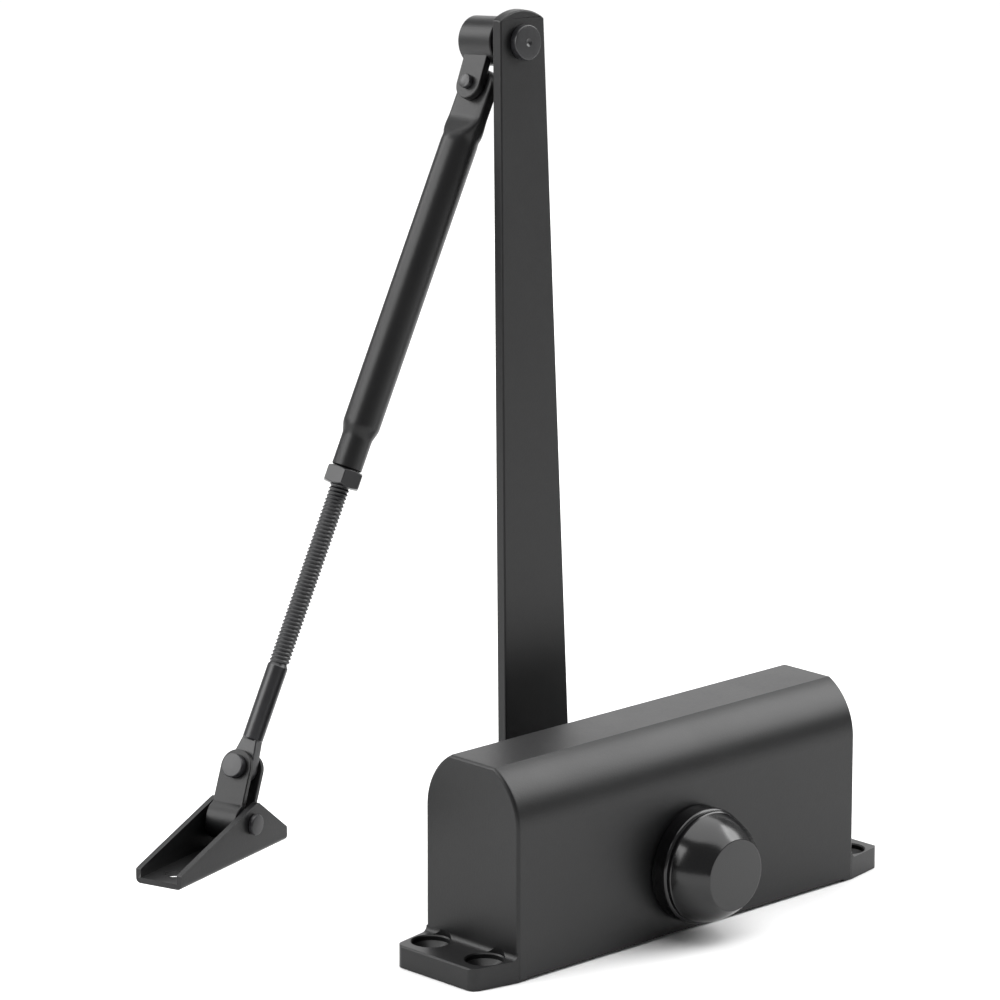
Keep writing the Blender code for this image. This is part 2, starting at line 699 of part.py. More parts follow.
def make_spring():
    """A compression coil with its end turns closed, between the blind wall and the piston."""
    low = BORE_END_X + SPRING_WIRE_RADIUS + GAP
    high = PISTON_LEFT - SPRING_WIRE_RADIUS - GAP
    radius = SPRING_COIL_RADIUS
    steps_per_turn = 16
    closed_turn = 0.75
    closed_rise = 2 * SPRING_WIRE_RADIUS + GAP
    steps = int(SPRING_TURNS * steps_per_turn)
    curve = bpy.data.curves.new("main_spring", "CURVE")
    curve.dimensions = "3D"
    curve.bevel_depth = SPRING_WIRE_RADIUS
    curve.bevel_resolution = 2
    curve.use_fill_caps = True
    spline = curve.splines.new("POLY")
    spline.points.add(steps)
    first_rise = closed_rise * closed_turn
    open_turns = SPRING_TURNS - 2 * closed_turn
    open_rise = (high - low - 2 * first_rise) / open_turns
    for step in range(steps + 1):
        turn = step / steps_per_turn
        if turn < closed_turn:
            rise = closed_rise * turn
        elif turn > SPRING_TURNS - closed_turn:
            rise = high - low - closed_rise * (SPRING_TURNS - turn)
        else:
            rise = first_rise + open_rise * (turn - closed_turn)
        angle = 2 * math.pi * turn
        spline.points[step].co = (radius * math.cos(angle), radius * math.sin(angle), low + rise, 1)
    coil = bpy.data.objects.new("main_spring", curve)
    CUTTERS.objects.link(coil)
    mesh = evaluated_mesh(coil)
    bpy.data.objects.remove(coil, do_unlink=True)
    spring = add_object("main_spring", mesh, shift(z=BORE_HEIGHT) @ TO_X, "spring_steel")
    smooth(spring, 60)


def make_valve(name, y):
    frame = shift(y=y, z=VALVE_HEIGHT) @ TO_X
    face = HALF_LENGTH - VALVE_SINK
    neck = VALVE_RADIUS - 2 * VALVE_SEAL_WIRE_RADIUS
    groove = face - VALVE_GROOVE_FROM_FACE
    tip = face - VALVE_LENGTH
    profile = [
        (0, face),
        (VALVE_RADIUS - 0.0004, face),
        (VALVE_RADIUS, face - 0.0004),
        (VALVE_RADIUS, groove),
        (neck - GAP, groove),
        (neck - GAP, groove - VALVE_GROOVE_WIDTH),
        (VALVE_RADIUS, groove - VALVE_GROOVE_WIDTH),
        (VALVE_RADIUS, tip + VALVE_TIP_LENGTH),
        (0.0006, tip),
        (0, tip),
    ]
    valve = add_object(name + "_valve", turned_mesh(name, profile, SMALL_STEPS), frame, "steel")
    half = VALVE_SLOT_WIDTH / 2
    slot = box_mesh("slot", (-half, -0.004, face - VALVE_SLOT_DEPTH), (half, 0.004, face + OVERCUT))
    change(valve, "DIFFERENCE", [cutter("slot", slot, frame)])
    ring_radius = neck - GAP / 2 + VALVE_SEAL_WIRE_RADIUS
    middle = groove - VALVE_GROOVE_WIDTH / 2
    ring = ring_mesh(name + "_seal", ring_radius, VALVE_SEAL_WIRE_RADIUS, middle, SMALL_STEPS)
    seal = add_object(name + "_valve_seal", ring, frame, "seal_rubber")
    holder = empty(name + "_valve_axis", shift(HALF_LENGTH, y, VALVE_HEIGHT))
    child_of(valve, holder)
    child_of(seal, holder)


# ---------------------------------------------------------------- pinion and glands
def involute_half_tooth():
    """(radius, angle from the tooth's middle) up one flank, base circle to tip."""
    base = PITCH_RADIUS * math.cos(PRESSURE_ANGLE)
    tip = PITCH_RADIUS + PINION_ADDENDUM * GEAR_MODULE
    root = PITCH_RADIUS - (RACK_ADDENDUM + TOOTH_ROOT_GAP) * GEAR_MODULE
    pitch_half_angle = math.pi / (2 * PINION_TEETH)
    pitch_roll = math.tan(PRESSURE_ANGLE) - PRESSURE_ANGLE
    flank = []
    if root < base:
        flank.append((root, pitch_half_angle + pitch_roll))
    for step in range(5):
        radius = max(base, root) + (tip - max(base, root)) * step / 4
        pressure = math.acos(min(1.0, base / radius))
        flank.append((radius, pitch_half_angle + pitch_roll - math.tan(pressure) + pressure))
    return flank


def gear_outline():
    flank = involute_half_tooth()
    points = []
    for tooth in range(PINION_TEETH):
        middle = math.pi / 2 + 2 * math.pi * tooth / PINION_TEETH
        for radius, angle in flank:
            points.append((radius * math.cos(middle - angle), radius * math.sin(middle - angle)))
        for radius, angle in reversed(flank):
            points.append((radius * math.cos(middle + angle), radius * math.sin(middle + angle)))
    return points


def make_pinion():
    upright = pinion_frame() @ place((0, 0, 0), (1, 0, 0), (0, 0, 1), (0, -1, 0))
    pinion = add_object("pinion", plate_mesh("pinion", gear_outline(), PINION_FACE_WIDTH), upright, "steel")
    shaft = rod_mesh("shaft", JOURNAL_RADIUS, -JOURNAL_REACH, JOURNAL_REACH)
    shaft = cutter("shaft", shaft, pinion_frame() @ TO_Y)
    side = SQUARE_SIDE / 2
    square = box_mesh("square", (-side, -SQUARE_REACH, -side), (side, SQUARE_REACH, side))
    square = cutter("square", square, arm_frame())
    trim = cutter("trim", rod_mesh("trim", JOURNAL_RADIUS, -0.05, 0.05), pinion_frame() @ TO_Y)
    change(square, "INTERSECT", [trim])
    square_shape = cutter("square_shape", evaluated_mesh(square), arm_frame())
    change(pinion, "UNION", [shaft, square_shape])
    hole_end = SQUARE_REACH - SCREW_HOLE_DEPTH
    hole = rod_mesh("screw_hole", SCREW_HOLE_RADIUS + GAP, hole_end, SQUARE_REACH + OVERCUT, 16)
    change(pinion, "DIFFERENCE", [cutter("screw_hole", hole, pinion_frame() @ TO_Y)])
    return pinion


def make_gland(name, side):
    frame = pinion_frame() @ (TO_Y if side > 0 else TO_MINUS_Y)
    bush_inner = JOURNAL_RADIUS + GAP
    bush_outer = bush_inner + BUSH_WALL
    bush_top = GLAND_FLOOR + GAP + BUSH_LENGTH
    seal_top = bush_top + SHAFT_SEAL_LENGTH + 2 * GAP
    rim = HALF_WIDTH + GLAND_RIM_HEIGHT
    pocket = bush_outer + GAP
    gland_profile = [
        (pocket, seal_top + GAP),
        (JOURNAL_RADIUS + GAP, seal_top + GAP),
        (JOURNAL_RADIUS + GAP, rim),
        (GLAND_RIM_RADIUS, rim),
        (GLAND_RIM_RADIUS, HALF_WIDTH),
        (GLAND_RADIUS, HALF_WIDTH),
        (GLAND_RADIUS, GLAND_FLOOR),
        (pocket, GLAND_FLOOR),
    ]
    gland = turned_mesh("gland_" + name, gland_profile, ROUND_STEPS, closed=True)
    gland = add_object("gland_" + name, gland, frame, "black_steel")
    half = GLAND_SLOT_WIDTH / 2
    slots = []
    for turn in (0, 90):
        slot = box_mesh("slot", (-half, -0.02, rim - 0.0012), (half, 0.02, rim + OVERCUT))
        slots.append(cutter("gland_slot", slot, frame @ Matrix.Rotation(math.radians(turn), 4, "Z")))
    change(gland, "DIFFERENCE", slots)
    bush_profile = [
        (bush_inner, bush_top),
        (bush_outer, bush_top),
        (bush_outer, GLAND_FLOOR + GAP),
        (bush_inner, GLAND_FLOOR + GAP),
    ]
    bush = turned_mesh("bush_" + name, bush_profile, ROUND_STEPS, closed=True)
    add_object("bush_" + name, bush, frame, "bronze")
    wire = SHAFT_SEAL_LENGTH / 2
    seal = ring_mesh("shaft_seal_" + name, bush_inner + wire, wire, bush_top + GAP + wire)
    add_object("shaft_seal_" + name, seal, frame, "seal_rubber")


def make_pinion_cover():
    """A conical cap, open at the body, that snaps over the unused end's gland."""
    rim_bore = GLAND_RIM_RADIUS + GAP
    side = [
        (COVER_RADIUS, 0.0),
        (COVER_RADIUS, COVER_RING_HEIGHT - 0.0006),
        (COVER_RADIUS - 0.0006, COVER_RING_HEIGHT),
        (COVER_STEP_RADIUS, COVER_STEP_HEIGHT),
    ]
    steps = 5
    for step in range(1, steps + 1):
        share = step / steps
        bulge = 0.0009 * math.sin(math.pi * share)
        radius = COVER_STEP_RADIUS + (COVER_FACE_RADIUS + 0.0007 - COVER_STEP_RADIUS) * share + bulge
        side.append((radius, COVER_STEP_HEIGHT + (COVER_HEIGHT - 0.0005 - COVER_STEP_HEIGHT) * share))
    outside = side + [(COVER_FACE_RADIUS, COVER_HEIGHT), (0, COVER_HEIGHT)]
    inside = [
        (0, COVER_HEIGHT - COVER_WALL),
        (COVER_FACE_RADIUS - COVER_WALL, COVER_HEIGHT - COVER_WALL),
        (rim_bore, GLAND_RIM_HEIGHT + 0.004),
        (rim_bore, 0.0),
    ]
    profile = list(reversed(outside)) + list(reversed(inside))
    frame = shift(PINION_X, -HALF_WIDTH - GAP, PINION_HEIGHT) @ TO_MINUS_Y
    cover = add_object("pinion_cover", turned_mesh("pinion_cover", profile), frame, "black_plastic")
    smooth(cover)


# ---------------------------------------------------------------- arm
def arm_side_outline():
    """The bar seen edge on: (distance out along Y, height up the arm)."""
    lean = math.tan(ARM_LEAN)
    depth = ARM_THICKNESS / math.cos(ARM_LEAN)
    top = ARM_LENGTH * math.cos(ARM_LEAN) + ARM_TIP_RISE + 0.003
    bottom = -ARM_HUB_RADIUS - OVERCUT
    inner = [(ARM_HUB_FACE, bottom), (ARM_HUB_FACE, JOGGLE_START)]
    inner.append((ARM_PLANE_AT_PINION + JOGGLE_END * lean, JOGGLE_END))
    inner.append((ARM_PLANE_AT_PINION + top * lean, top))
    slack = ARM_THICKNESS * 0.35
    outer = [(ARM_PLANE_AT_PINION + depth + top * lean, top)]
    outer.append((ARM_PLANE_AT_PINION + depth + (JOGGLE_END - slack) * lean, JOGGLE_END - slack))
    outer.append((ARM_HUB_FACE + ARM_THICKNESS, JOGGLE_START - slack))
    outer.append((ARM_HUB_FACE + ARM_THICKNESS, bottom))
    return inner + outer


def arm_face_outline():
    """The bar seen along the pinion: (across, up)."""
    squash = math.cos(ARM_LEAN)
    length = ARM_LENGTH * squash
    slope = (ARM_HUB_WIDTH - ARM_TIP_WIDTH) / 2 / length
    shoulder = length + ARM_TIP_SHOULDER * squash
    half_tip = ARM_HUB_WIDTH / 2 - slope * shoulder
    rise = (ARM_TIP_RISE - ARM_TIP_SHOULDER) * squash
    arc_radius = (half_tip ** 2 + rise ** 2) / (2 * rise)
    spread = math.degrees(math.asin(half_tip / arc_radius))
    centre = (0, shoulder + rise - arc_radius)
    tip = arc(centre, arc_radius, 90 - spread, 90 + spread, 8)
    hub_side = math.degrees(math.asin(slope))
    hub = arc((0, 0), ARM_HUB_RADIUS, 180 - hub_side, 360 + hub_side, 20)
    return tip + hub


def elbow_hole(name, radius, low, high, steps=ROUND_STEPS):
    return cutter(name, rod_mesh(name, radius, low, high, steps), elbow_frame() @ TO_Y)


def make_arm():
    side_frame = arm_frame() @ place((0, 0, 0), (0, 1, 0), (0, 0, 1), (1, 0, 0))
    bar = add_object("main_arm", plate_mesh("main_arm", arm_side_outline(), 0.05), side_frame, "black_coat")
    face_frame = arm_frame() @ place((0, ARM_PLANE_AT_PINION, 0), (1, 0, 0), (0, 0, 1), (0, -1, 0))
    face = cutter("arm_face", plate_mesh("arm_face", arm_face_outline(), 0.12), face_frame)
    change(bar, "INTERSECT", [face])
    side = SQUARE_SIDE / 2 + GAP
    square = box_mesh("arm_square", (-side, ARM_HUB_FACE - 0.01, -side), (side, ARM_HUB_FACE + 0.01, side))
    square = cutter("arm_square", square, arm_frame())
    corner_trim = rod_mesh("corner_trim", JOURNAL_RADIUS + GAP, 0, ARM_HUB_FACE + 0.02)
    change(square, "INTERSECT", [cutter("corner_trim", corner_trim, arm_frame() @ TO_Y)])
    square_shape = cutter("arm_square_shape", evaluated_mesh(square), arm_frame())
    hole = elbow_hole("elbow_hole", ELBOW_SHANK_RADIUS + GAP, -0.004, ARM_THICKNESS + 0.004)
    change(bar, "DIFFERENCE", [square_shape, hole])
    washer_base = ARM_HUB_FACE + ARM_THICKNESS + GAP
    washer_profile = [
        (SCREW_HOLE_RADIUS + GAP, washer_base + ARM_WASHER_THICKNESS),
        (ARM_WASHER_RADIUS, washer_base + ARM_WASHER_THICKNESS),
        (ARM_WASHER_RADIUS, washer_base),
        (SCREW_HOLE_RADIUS + GAP, washer_base),
    ]
    washer = turned_mesh("arm_washer", washer_profile, ROUND_STEPS, closed=True)
    washer = add_object("arm_washer", washer, arm_frame() @ TO_Y, "black_steel")
    head_base = washer_base + ARM_WASHER_THICKNESS + GAP
    head_top = head_base + ARM_SCREW_HEAD_HEIGHT
    screw_end = SQUARE_REACH - SCREW_HOLE_DEPTH + 0.002
    screw_profile = [
        (0, head_top),
        (ARM_SCREW_HEAD_RADIUS - 0.0012, head_top),
        (ARM_SCREW_HEAD_RADIUS, head_top - 0.0012),
        (ARM_SCREW_HEAD_RADIUS, head_base),
        (SCREW_HOLE_RADIUS, head_base),
        (SCREW_HOLE_RADIUS, screw_end),
        (0, screw_end),
    ]
    blank = turned_mesh("arm_screw", screw_profile)
    screw = add_object("arm_screw", blank, arm_frame() @ TO_Y, "black_steel")
    socket = hexagon_mesh("hex_socket", 0.005, head_top - 0.0025, head_top + OVERCUT)
    change(screw, "DIFFERENCE", [cutter("hex_socket", socket, arm_frame() @ TO_Y)])
    return [bar, washer, screw]


def hexagon_mesh(name, across_flats, low, high):
    return rod_mesh(name, across_flats / math.sqrt(3), low, high, 6)


def make_elbow(knuckle_frame):
    frame = elbow_frame() @ TO_Y
    knuckle_high = KNUCKLE_START + KNUCKLE_LENGTH
    tail_low = knuckle_high + GAP
    pin_profile = [
        (0, tail_low + ELBOW_TAIL_HEIGHT),
        (ELBOW_TAIL_RADIUS - 0.0006, tail_low + ELBOW_TAIL_HEIGHT),
        (ELBOW_TAIL_RADIUS, tail_low + ELBOW_TAIL_HEIGHT - 0.0006),
        (ELBOW_TAIL_RADIUS, tail_low),
        (ELBOW_SHANK_RADIUS, tail_low),
        (ELBOW_SHANK_RADIUS, -GAP),
        (ELBOW_HEAD_RADIUS, -GAP),
        (ELBOW_HEAD_RADIUS, -GAP - ELBOW_HEAD_HEIGHT + 0.0003),
        (ELBOW_HEAD_RADIUS - 0.0003, -GAP - ELBOW_HEAD_HEIGHT),
        (0, -GAP - ELBOW_HEAD_HEIGHT),
    ]
    pin = add_object("elbow_pin", turned_mesh("elbow_pin", pin_profile), frame, "black_steel")
    washer_low = ARM_THICKNESS + GAP
    washer_profile = [
        (ELBOW_SHANK_RADIUS + GAP, washer_low + ELBOW_WASHER_THICKNESS),
        (ELBOW_WASHER_RADIUS, washer_low + ELBOW_WASHER_THICKNESS),
        (ELBOW_WASHER_RADIUS, washer_low),
        (ELBOW_SHANK_RADIUS + GAP, washer_low),
    ]
    washer = turned_mesh("elbow_washer", washer_profile, ROUND_STEPS, closed=True)
    washer = add_object("elbow_washer", washer, frame, "black_steel")

    far_end = KNUCKLE_LENGTH / 2
    barrel_profile = [
        (0, far_end),
        (KNUCKLE_RADIUS - KNUCKLE_CHAMFER, far_end),
        (KNUCKLE_RADIUS, far_end - KNUCKLE_CHAMFER),
        (KNUCKLE_RADIUS, -far_end),
        (0, -far_end),
    ]
    barrel = turned_mesh("knuckle", barrel_profile)
    knuckle = add_object("knuckle", barrel, knuckle_frame @ TO_Y, "black_coat")
    half = TONGUE_WIDTH / 2
    outline = [(half, 0)] + [(-half, 0)] + arc((0, -TONGUE_REACH), half, 180, 360, 12)
    side_view = place((-TONGUE_FACE + TONGUE_THICKNESS / 2, 0, 0), (0, 1, 0), (0, 0, 1), (1, 0, 0))
    tongue = plate_mesh("tongue", outline, TONGUE_THICKNESS)
    change(knuckle, "UNION", [cutter("tongue", tongue, knuckle_frame @ side_view)])
    pin_hole = rod_mesh("pin_hole", ELBOW_SHANK_RADIUS + GAP, -0.02, 0.02)
    rivet_hole = rod_mesh("rivet_hole", KNUCKLE_RIVET_RADIUS + GAP, -0.02, 0, 16)
    rivet_line = knuckle_frame @ shift(z=-TONGUE_REACH) @ TO_X
    cuts = [cutter("pin_hole", pin_hole, knuckle_frame @ TO_Y), cutter("rivet_hole", rivet_hole, rivet_line)]
    change(knuckle, "DIFFERENCE", cuts)
    return pin, washer, knuckle


def rivet_mesh(name, shank, head, head_height, low, high, steps=ROUND_STEPS):
    """A two-headed rivet along Z whose shank spans low to high."""
    bevel = min(head_height, head) * 0.2
    profile = [
        (0, high + head_height),
        (head - bevel, high + head_height),
        (head, high + head_height - bevel),
        (head, high),
        (shank, high),
        (shank, low),
        (head, low),
        (head, low - head_height + bevel),
        (head - bevel, low - head_height),
        (0, low - head_height),
    ]
    return turned_mesh(name, profile, steps)


def make_knuckle_rivet(knuckle_frame):
    frame = knuckle_frame @ shift(z=-TONGUE_REACH) @ TO_X
    low = -TONGUE_FACE - GAP
    high = -TUBE_OFFSET + TUBE_FLAT_THICKNESS / 2 + GAP
    mesh = rivet_mesh(
        "knuckle_rivet",
        KNUCKLE_RIVET_RADIUS,
        KNUCKLE_RIVET_HEAD_RADIUS,
        KNUCKLE_RIVET_HEAD_HEIGHT,
        low,
        high,
        20,
    )
    return add_object("knuckle_rivet", mesh, frame, "black_steel")


def superellipse_ring(half_x, half_y, power, count):
    """Points round an oval that goes from round (power 2) to boxy."""
    ring = []
    for step in range(count):
        angle = 2 * math.pi * step / count
        c = math.cos(angle)
        s = math.sin(angle)
        x = half_x * math.copysign(abs(c) ** (2 / power), c)
        y = half_y * math.copysign(abs(s) ** (2 / power), s)
        ring.append((x, y))
    return ring


def blend(share):
    return share * share * (3 - 2 * share)


def tube_sections(length):
    """(distance below the top rivet, half thickness, half width, squareness) down the tube."""
    flat = (TUBE_FLAT_THICKNESS / 2, TUBE_FLAT_WIDTH / 2, 5.0)
    bore_end = length - NUT_FROM_EYE - NUT_HEIGHT - GAP
    sections = [(-TUBE_EYE_RADIUS - 0.001, *flat), (TUBE_FLAT_END, *flat)]
    steps = 5
    for step in range(1, steps + 1):
        share = blend(step / steps)
        down = TUBE_FLAT_END + (TUBE_ROUND_START - TUBE_FLAT_END) * step / steps
        thick = flat[0] + (TUBE_RADIUS - flat[0]) * share
        wide = flat[1] + (TUBE_RADIUS - flat[1]) * share
        sections.append((down, thick, wide, flat[2] + (2 - flat[2]) * share))
    for step in range(5):
        share = blend(step / 4)
        down = bore_end - TUBE_NECK_END + (TUBE_NECK_END - TUBE_NECK_START) * step / 4
        radius = TUBE_RADIUS + (TUBE_NECK_RADIUS - TUBE_RADIUS) * share
        sections.append((down, radius, radius, 2))
    sections.append((bore_end, TUBE_NECK_RADIUS, TUBE_NECK_RADIUS, 2))
    return sections, bore_end


def make_tube(frame, length):
    """Top end pressed flat and drilled, lower end swaged down onto the thread."""
    sections, bore_end = tube_sections(length)
    count = 28
    bm = bmesh.new()
    rings = []
    for down, half_thick, half_wide, power in sections:
        ring = superellipse_ring(half_thick, half_wide, power, count)
        rings.append([bm.verts.new((x, y, -down)) for x, y in ring])
    for upper, lower in zip(rings, rings[1:]):
        for index in range(count):
            after = (index + 1) % count
            bm.faces.new((upper[index], lower[index], lower[after], upper[after]))
    bm.faces.new(rings[0])
    bm.faces.new(list(reversed(rings[-1])))
    tube = add_object("forearm_tube", mesh_from_bmesh("forearm_tube", bm), frame, "black_coat")
    eye = TUBE_EYE_RADIUS
    wide = TUBE_FLAT_WIDTH
    drop = -TUBE_EYE_DROP
    outline = [(wide, -length), (wide, drop)] + arc((0, drop), eye, 0, 180, 14)
    outline = outline + [(-wide, drop), (-wide, -length)]
    across = place((0, 0, 0), (0, 1, 0), (0, 0, 1), (1, 0, 0))
    change(tube, "INTERSECT", [cutter("tube_end", plate_mesh("tube_end", outline, 0.03), frame @ across)])
    rivet_hole = rod_mesh("tube_rivet_hole", KNUCKLE_RIVET_RADIUS + GAP, -0.01, 0.01, 16)
    thread_bore = rod_mesh("thread_bore", ROD_RADIUS + GAP, -bore_end - OVERCUT, -bore_end + 0.020, 24)
    cavity_top = -TUBE_ROUND_START - 0.004
    cavity_low = -bore_end + TUBE_NECK_END + 0.001
    cavity = rod_mesh("cavity", TUBE_RADIUS - TUBE_WALL, cavity_low, cavity_top, 24)
    cuts = [
        cutter("tube_rivet_hole", rivet_hole, frame @ TO_X),
        cutter("thread_bore", thread_bore, frame),
        cutter("cavity", cavity, frame),
    ]
    change(tube, "DIFFERENCE", cuts)
    return tube


def make_nut(rod_frame):
    low = NUT_FROM_EYE
    high = NUT_FROM_EYE + NUT_HEIGHT
    blank = hexagon_mesh("lock_nut", NUT_ACROSS_FLATS, low, high)
    nut = add_object("lock_nut", blank, rod_frame, "black_steel")
    corner = NUT_ACROSS_FLATS / math.sqrt(3)
    flat = NUT_ACROSS_FLATS / 2
    chamfer = (corner - flat) * math.tan(math.radians(30))
    envelope = [
        (0, high),
        (flat - 0.0002, high),
        (corner + 0.0002, high - chamfer * 1.3),
        (corner + 0.0002, low + chamfer * 1.3),
        (flat - 0.0002, low),
        (0, low),
    ]
    twisted = rod_frame @ Matrix.Rotation(math.radians(7.5), 4, "Z")
    chamfers = turned_mesh("nut_envelope", envelope, 24)
    change(nut, "INTERSECT", [cutter("nut_envelope", chamfers, twisted)])
    bore = rod_mesh("nut_bore", ROD_RADIUS + GAP, low - OVERCUT, high + OVERCUT, 24)
    change(nut, "DIFFERENCE", [cutter("nut_bore", bore, rod_frame)])
    return nut


def make_rod(rod_frame):
    """Round rod whose lower end is pressed flat and drilled."""
    high = NUT_FROM_EYE + NUT_HEIGHT + GAP + ROD_INSIDE_TUBE
    bar = rod_mesh("adjusting_rod", ROD_RADIUS, ROD_SHANK_START, high, 24)
    rod = add_object("adjusting_rod", bar, rod_frame, "black_steel")
    half = ROD_NECK_WIDTH / 2
    top = ROD_SHANK_START + 0.001
    tangent = math.degrees(math.atan2(top, half) - math.acos(ROD_EYE_RADIUS / math.hypot(top, half)))
    outline = arc((0, 0), ROD_EYE_RADIUS, 180 - tangent, 360 + tangent, 20) + [(half, top), (-half, top)]
    across = place((0, 0, 0), (0, 1, 0), (0, 0, 1), (1, 0, 0))
    eye = plate_mesh("rod_eye", outline, ROD_EYE_THICKNESS)
    change(rod, "UNION", [cutter("rod_eye", eye, rod_frame @ across)])
    hole = rod_mesh("eye_hole", YOKE_RIVET_RADIUS + GAP, -0.01, 0.01, 20)
    change(rod, "DIFFERENCE", [cutter("eye_hole", hole, rod_frame @ TO_X)])
    return rod


# ---------------------------------------------------------------- yoke and bracket
ROLL_INNER = BRACKET_PIN_RADIUS + GAP
ROLL_OUTER = ROLL_INNER + YOKE_THICKNESS
EAR_INNER = ROD_EYE_THICKNESS / 2 + GAP
EAR_OUTER = EAR_INNER + YOKE_THICKNESS


def make_yoke(yoke_frame):
    """A strip rolled round the bracket pin and pinched into two parallel ears."""
    half = YOKE_WIDTH / 2
    top = YOKE_RISE + half + 0.001
    outer_turn = math.degrees(math.acos(EAR_OUTER / ROLL_OUTER))
    inner_turn = math.degrees(math.acos(EAR_INNER / ROLL_INNER))
    outer = arc((0, 0), ROLL_OUTER, 180 - outer_turn, 360 + outer_turn, 18)
    inner = arc((0, 0), ROLL_INNER, 360 + inner_turn, 180 - inner_turn, 18)
    outline = [(-EAR_OUTER, top)] + outer + [(EAR_OUTER, top), (EAR_INNER, top)] + inner + [(-EAR_INNER, top)]
    side_view = place((0, 0, 0), (1, 0, 0), (0, 0, 1), (0, -1, 0))
    strip = plate_mesh("yoke", outline, YOKE_WIDTH)
    yoke = add_object("yoke", strip, yoke_frame @ side_view, "black_coat")
    ear = [(half + 0.001, -0.02), (half + 0.001, YOKE_RISE)] + arc((0, YOKE_RISE), half, 0, 180, 14)
    ear = ear + [(-half - 0.001, YOKE_RISE), (-half - 0.001, -0.02)]
    across = place((0, 0, 0), (0, 1, 0), (0, 0, 1), (1, 0, 0))
    ear_shape = plate_mesh("ear_outline", ear, 0.03)
    change(yoke, "INTERSECT", [cutter("ear_outline", ear_shape, yoke_frame @ across)])
    hole = rod_mesh("ear_hole", YOKE_RIVET_RADIUS + GAP, -0.02, 0.02, 20)
    change(yoke, "DIFFERENCE", [cutter("ear_hole", hole, yoke_frame @ shift(z=YOKE_RISE) @ TO_X)])
    rivet = rivet_mesh(
        "yoke_rivet",
        YOKE_RIVET_RADIUS,
        YOKE_RIVET_HEAD_RADIUS,
        YOKE_RIVET_HEAD_HEIGHT,
        -EAR_OUTER - GAP,
        EAR_OUTER + GAP,
        24,
    )
    rivet = add_object("yoke_rivet", rivet, yoke_frame @ shift(z=YOKE_RISE) @ TO_X, "black_steel")
    return yoke, rivet


def make_bracket(frame):
    """A pressed channel with a base and two triangular sides."""
    thick = BRACKET_THICKNESS
    width = BRACKET_WIDTH
    bend = BRACKET_BEND
    floor = arc((bend, bend), bend, 180, 270, 4) + arc((width - bend, bend), bend, 270, 360, 4)
    inside = [(width - thick, 0.03), (width - thick, thick), (thick, thick), (thick, 0.03)]
    section = floor + [(width, 0.03)] + inside + [(0, 0.03)]
    end_view = place((BRACKET_LENGTH / 2, 0, 0), (0, 1, 0), (0, 0, 1), (1, 0, 0))
    channel = plate_mesh("bracket", section, BRACKET_LENGTH)
    bracket = add_object("bracket", channel, frame @ end_view, "black_coat")
    corners = [
        (0, -0.001),
        (BRACKET_LENGTH, -0.001),
        (BRACKET_LENGTH, BRACKET_REAR_HEIGHT),
        (BRACKET_PEAK_AT, BRACKET_PEAK_HEIGHT),
        (BRACKET_FRONT_FLAT, BRACKET_FRONT_HEIGHT),
        (0, BRACKET_FRONT_HEIGHT - 0.001),
    ]
    side_view = place((0, width / 2, 0), (1, 0, 0), (0, 0, 1), (0, -1, 0))
    side_shape = plate_mesh("bracket_side", corners, 0.04)
    change(bracket, "INTERSECT", [cutter("bracket_side", side_shape, frame @ side_view)])
    pin_line = frame @ shift(BRACKET_PIN_AT, 0, BRACKET_PIN_HEIGHT) @ TO_Y
    pin_hole = rod_mesh("bracket_pin_hole", BRACKET_PIN_END_RADIUS + GAP, -0.005, width + 0.005, 24)
    cuts = [cutter("bracket_pin_hole", pin_hole, pin_line)]
    for along in BRACKET_HOLES_AT:
        hole = rod_mesh("bracket_hole", BRACKET_HOLE_RADIUS, -0.003, 0.004, 20)
        cuts.append(cutter("bracket_hole", hole, frame @ shift(along, width / 2, 0)))
    change(bracket, "DIFFERENCE", cuts)
    head = BRACKET_PIN_HEAD_RADIUS
    edge = BRACKET_PIN_HEAD_HEIGHT * 0.2
    half_profile = [
        (0, width + GAP + BRACKET_PIN_HEAD_HEIGHT),
        (head - edge, width + GAP + BRACKET_PIN_HEAD_HEIGHT),
        (head, width + GAP + BRACKET_PIN_HEAD_HEIGHT - edge),
        (head, width + GAP),
        (BRACKET_PIN_END_RADIUS, width + GAP),
        (BRACKET_PIN_END_RADIUS, width - thick - GAP),
        (BRACKET_PIN_RADIUS, width - thick - GAP),
    ]
    mirrored = [(radius, width - height) for radius, height in reversed(half_profile)]
    pin = turned_mesh("bracket_pin", half_profile + mirrored, 24)
    pin = add_object("bracket_pin", pin, pin_line, "black_steel")
    return bracket, pin


# ---------------------------------------------------------------- assembly
clear_scene()
PARTS = make_collection("door_closer")
CUTTERS = make_collection("cutters")
CUTTERS.hide_render = True

knuckle_frame, yoke_frame, forearm_frame, rod_frame, forearm_length = hang_linkage()

make_housing()
make_end_plug()
piston_pieces = make_piston()
piston_slide = empty("piston_slide", shift(PISTON_LEFT, 0, BORE_HEIGHT))
for piece in piston_pieces:
    child_of(piece, piston_slide)
make_spring()
for valve_name, valve_y in valve_places().items():
    make_valve(valve_name, valve_y)
make_gland("front", -1)
make_gland("rear", 1)
make_pinion_cover()

pinion_axis = empty("pinion_axis", pinion_frame())
child_of(make_pinion(), pinion_axis)
for piece in make_arm():
    child_of(piece, pinion_axis)

elbow_axis = empty("elbow_axis", knuckle_frame, pinion_axis)
elbow_pin, elbow_washer, knuckle = make_elbow(knuckle_frame)
child_of(elbow_pin, pinion_axis)
child_of(elbow_washer, pinion_axis)
child_of(knuckle, elbow_axis)
child_of(make_knuckle_rivet(knuckle_frame), elbow_axis)

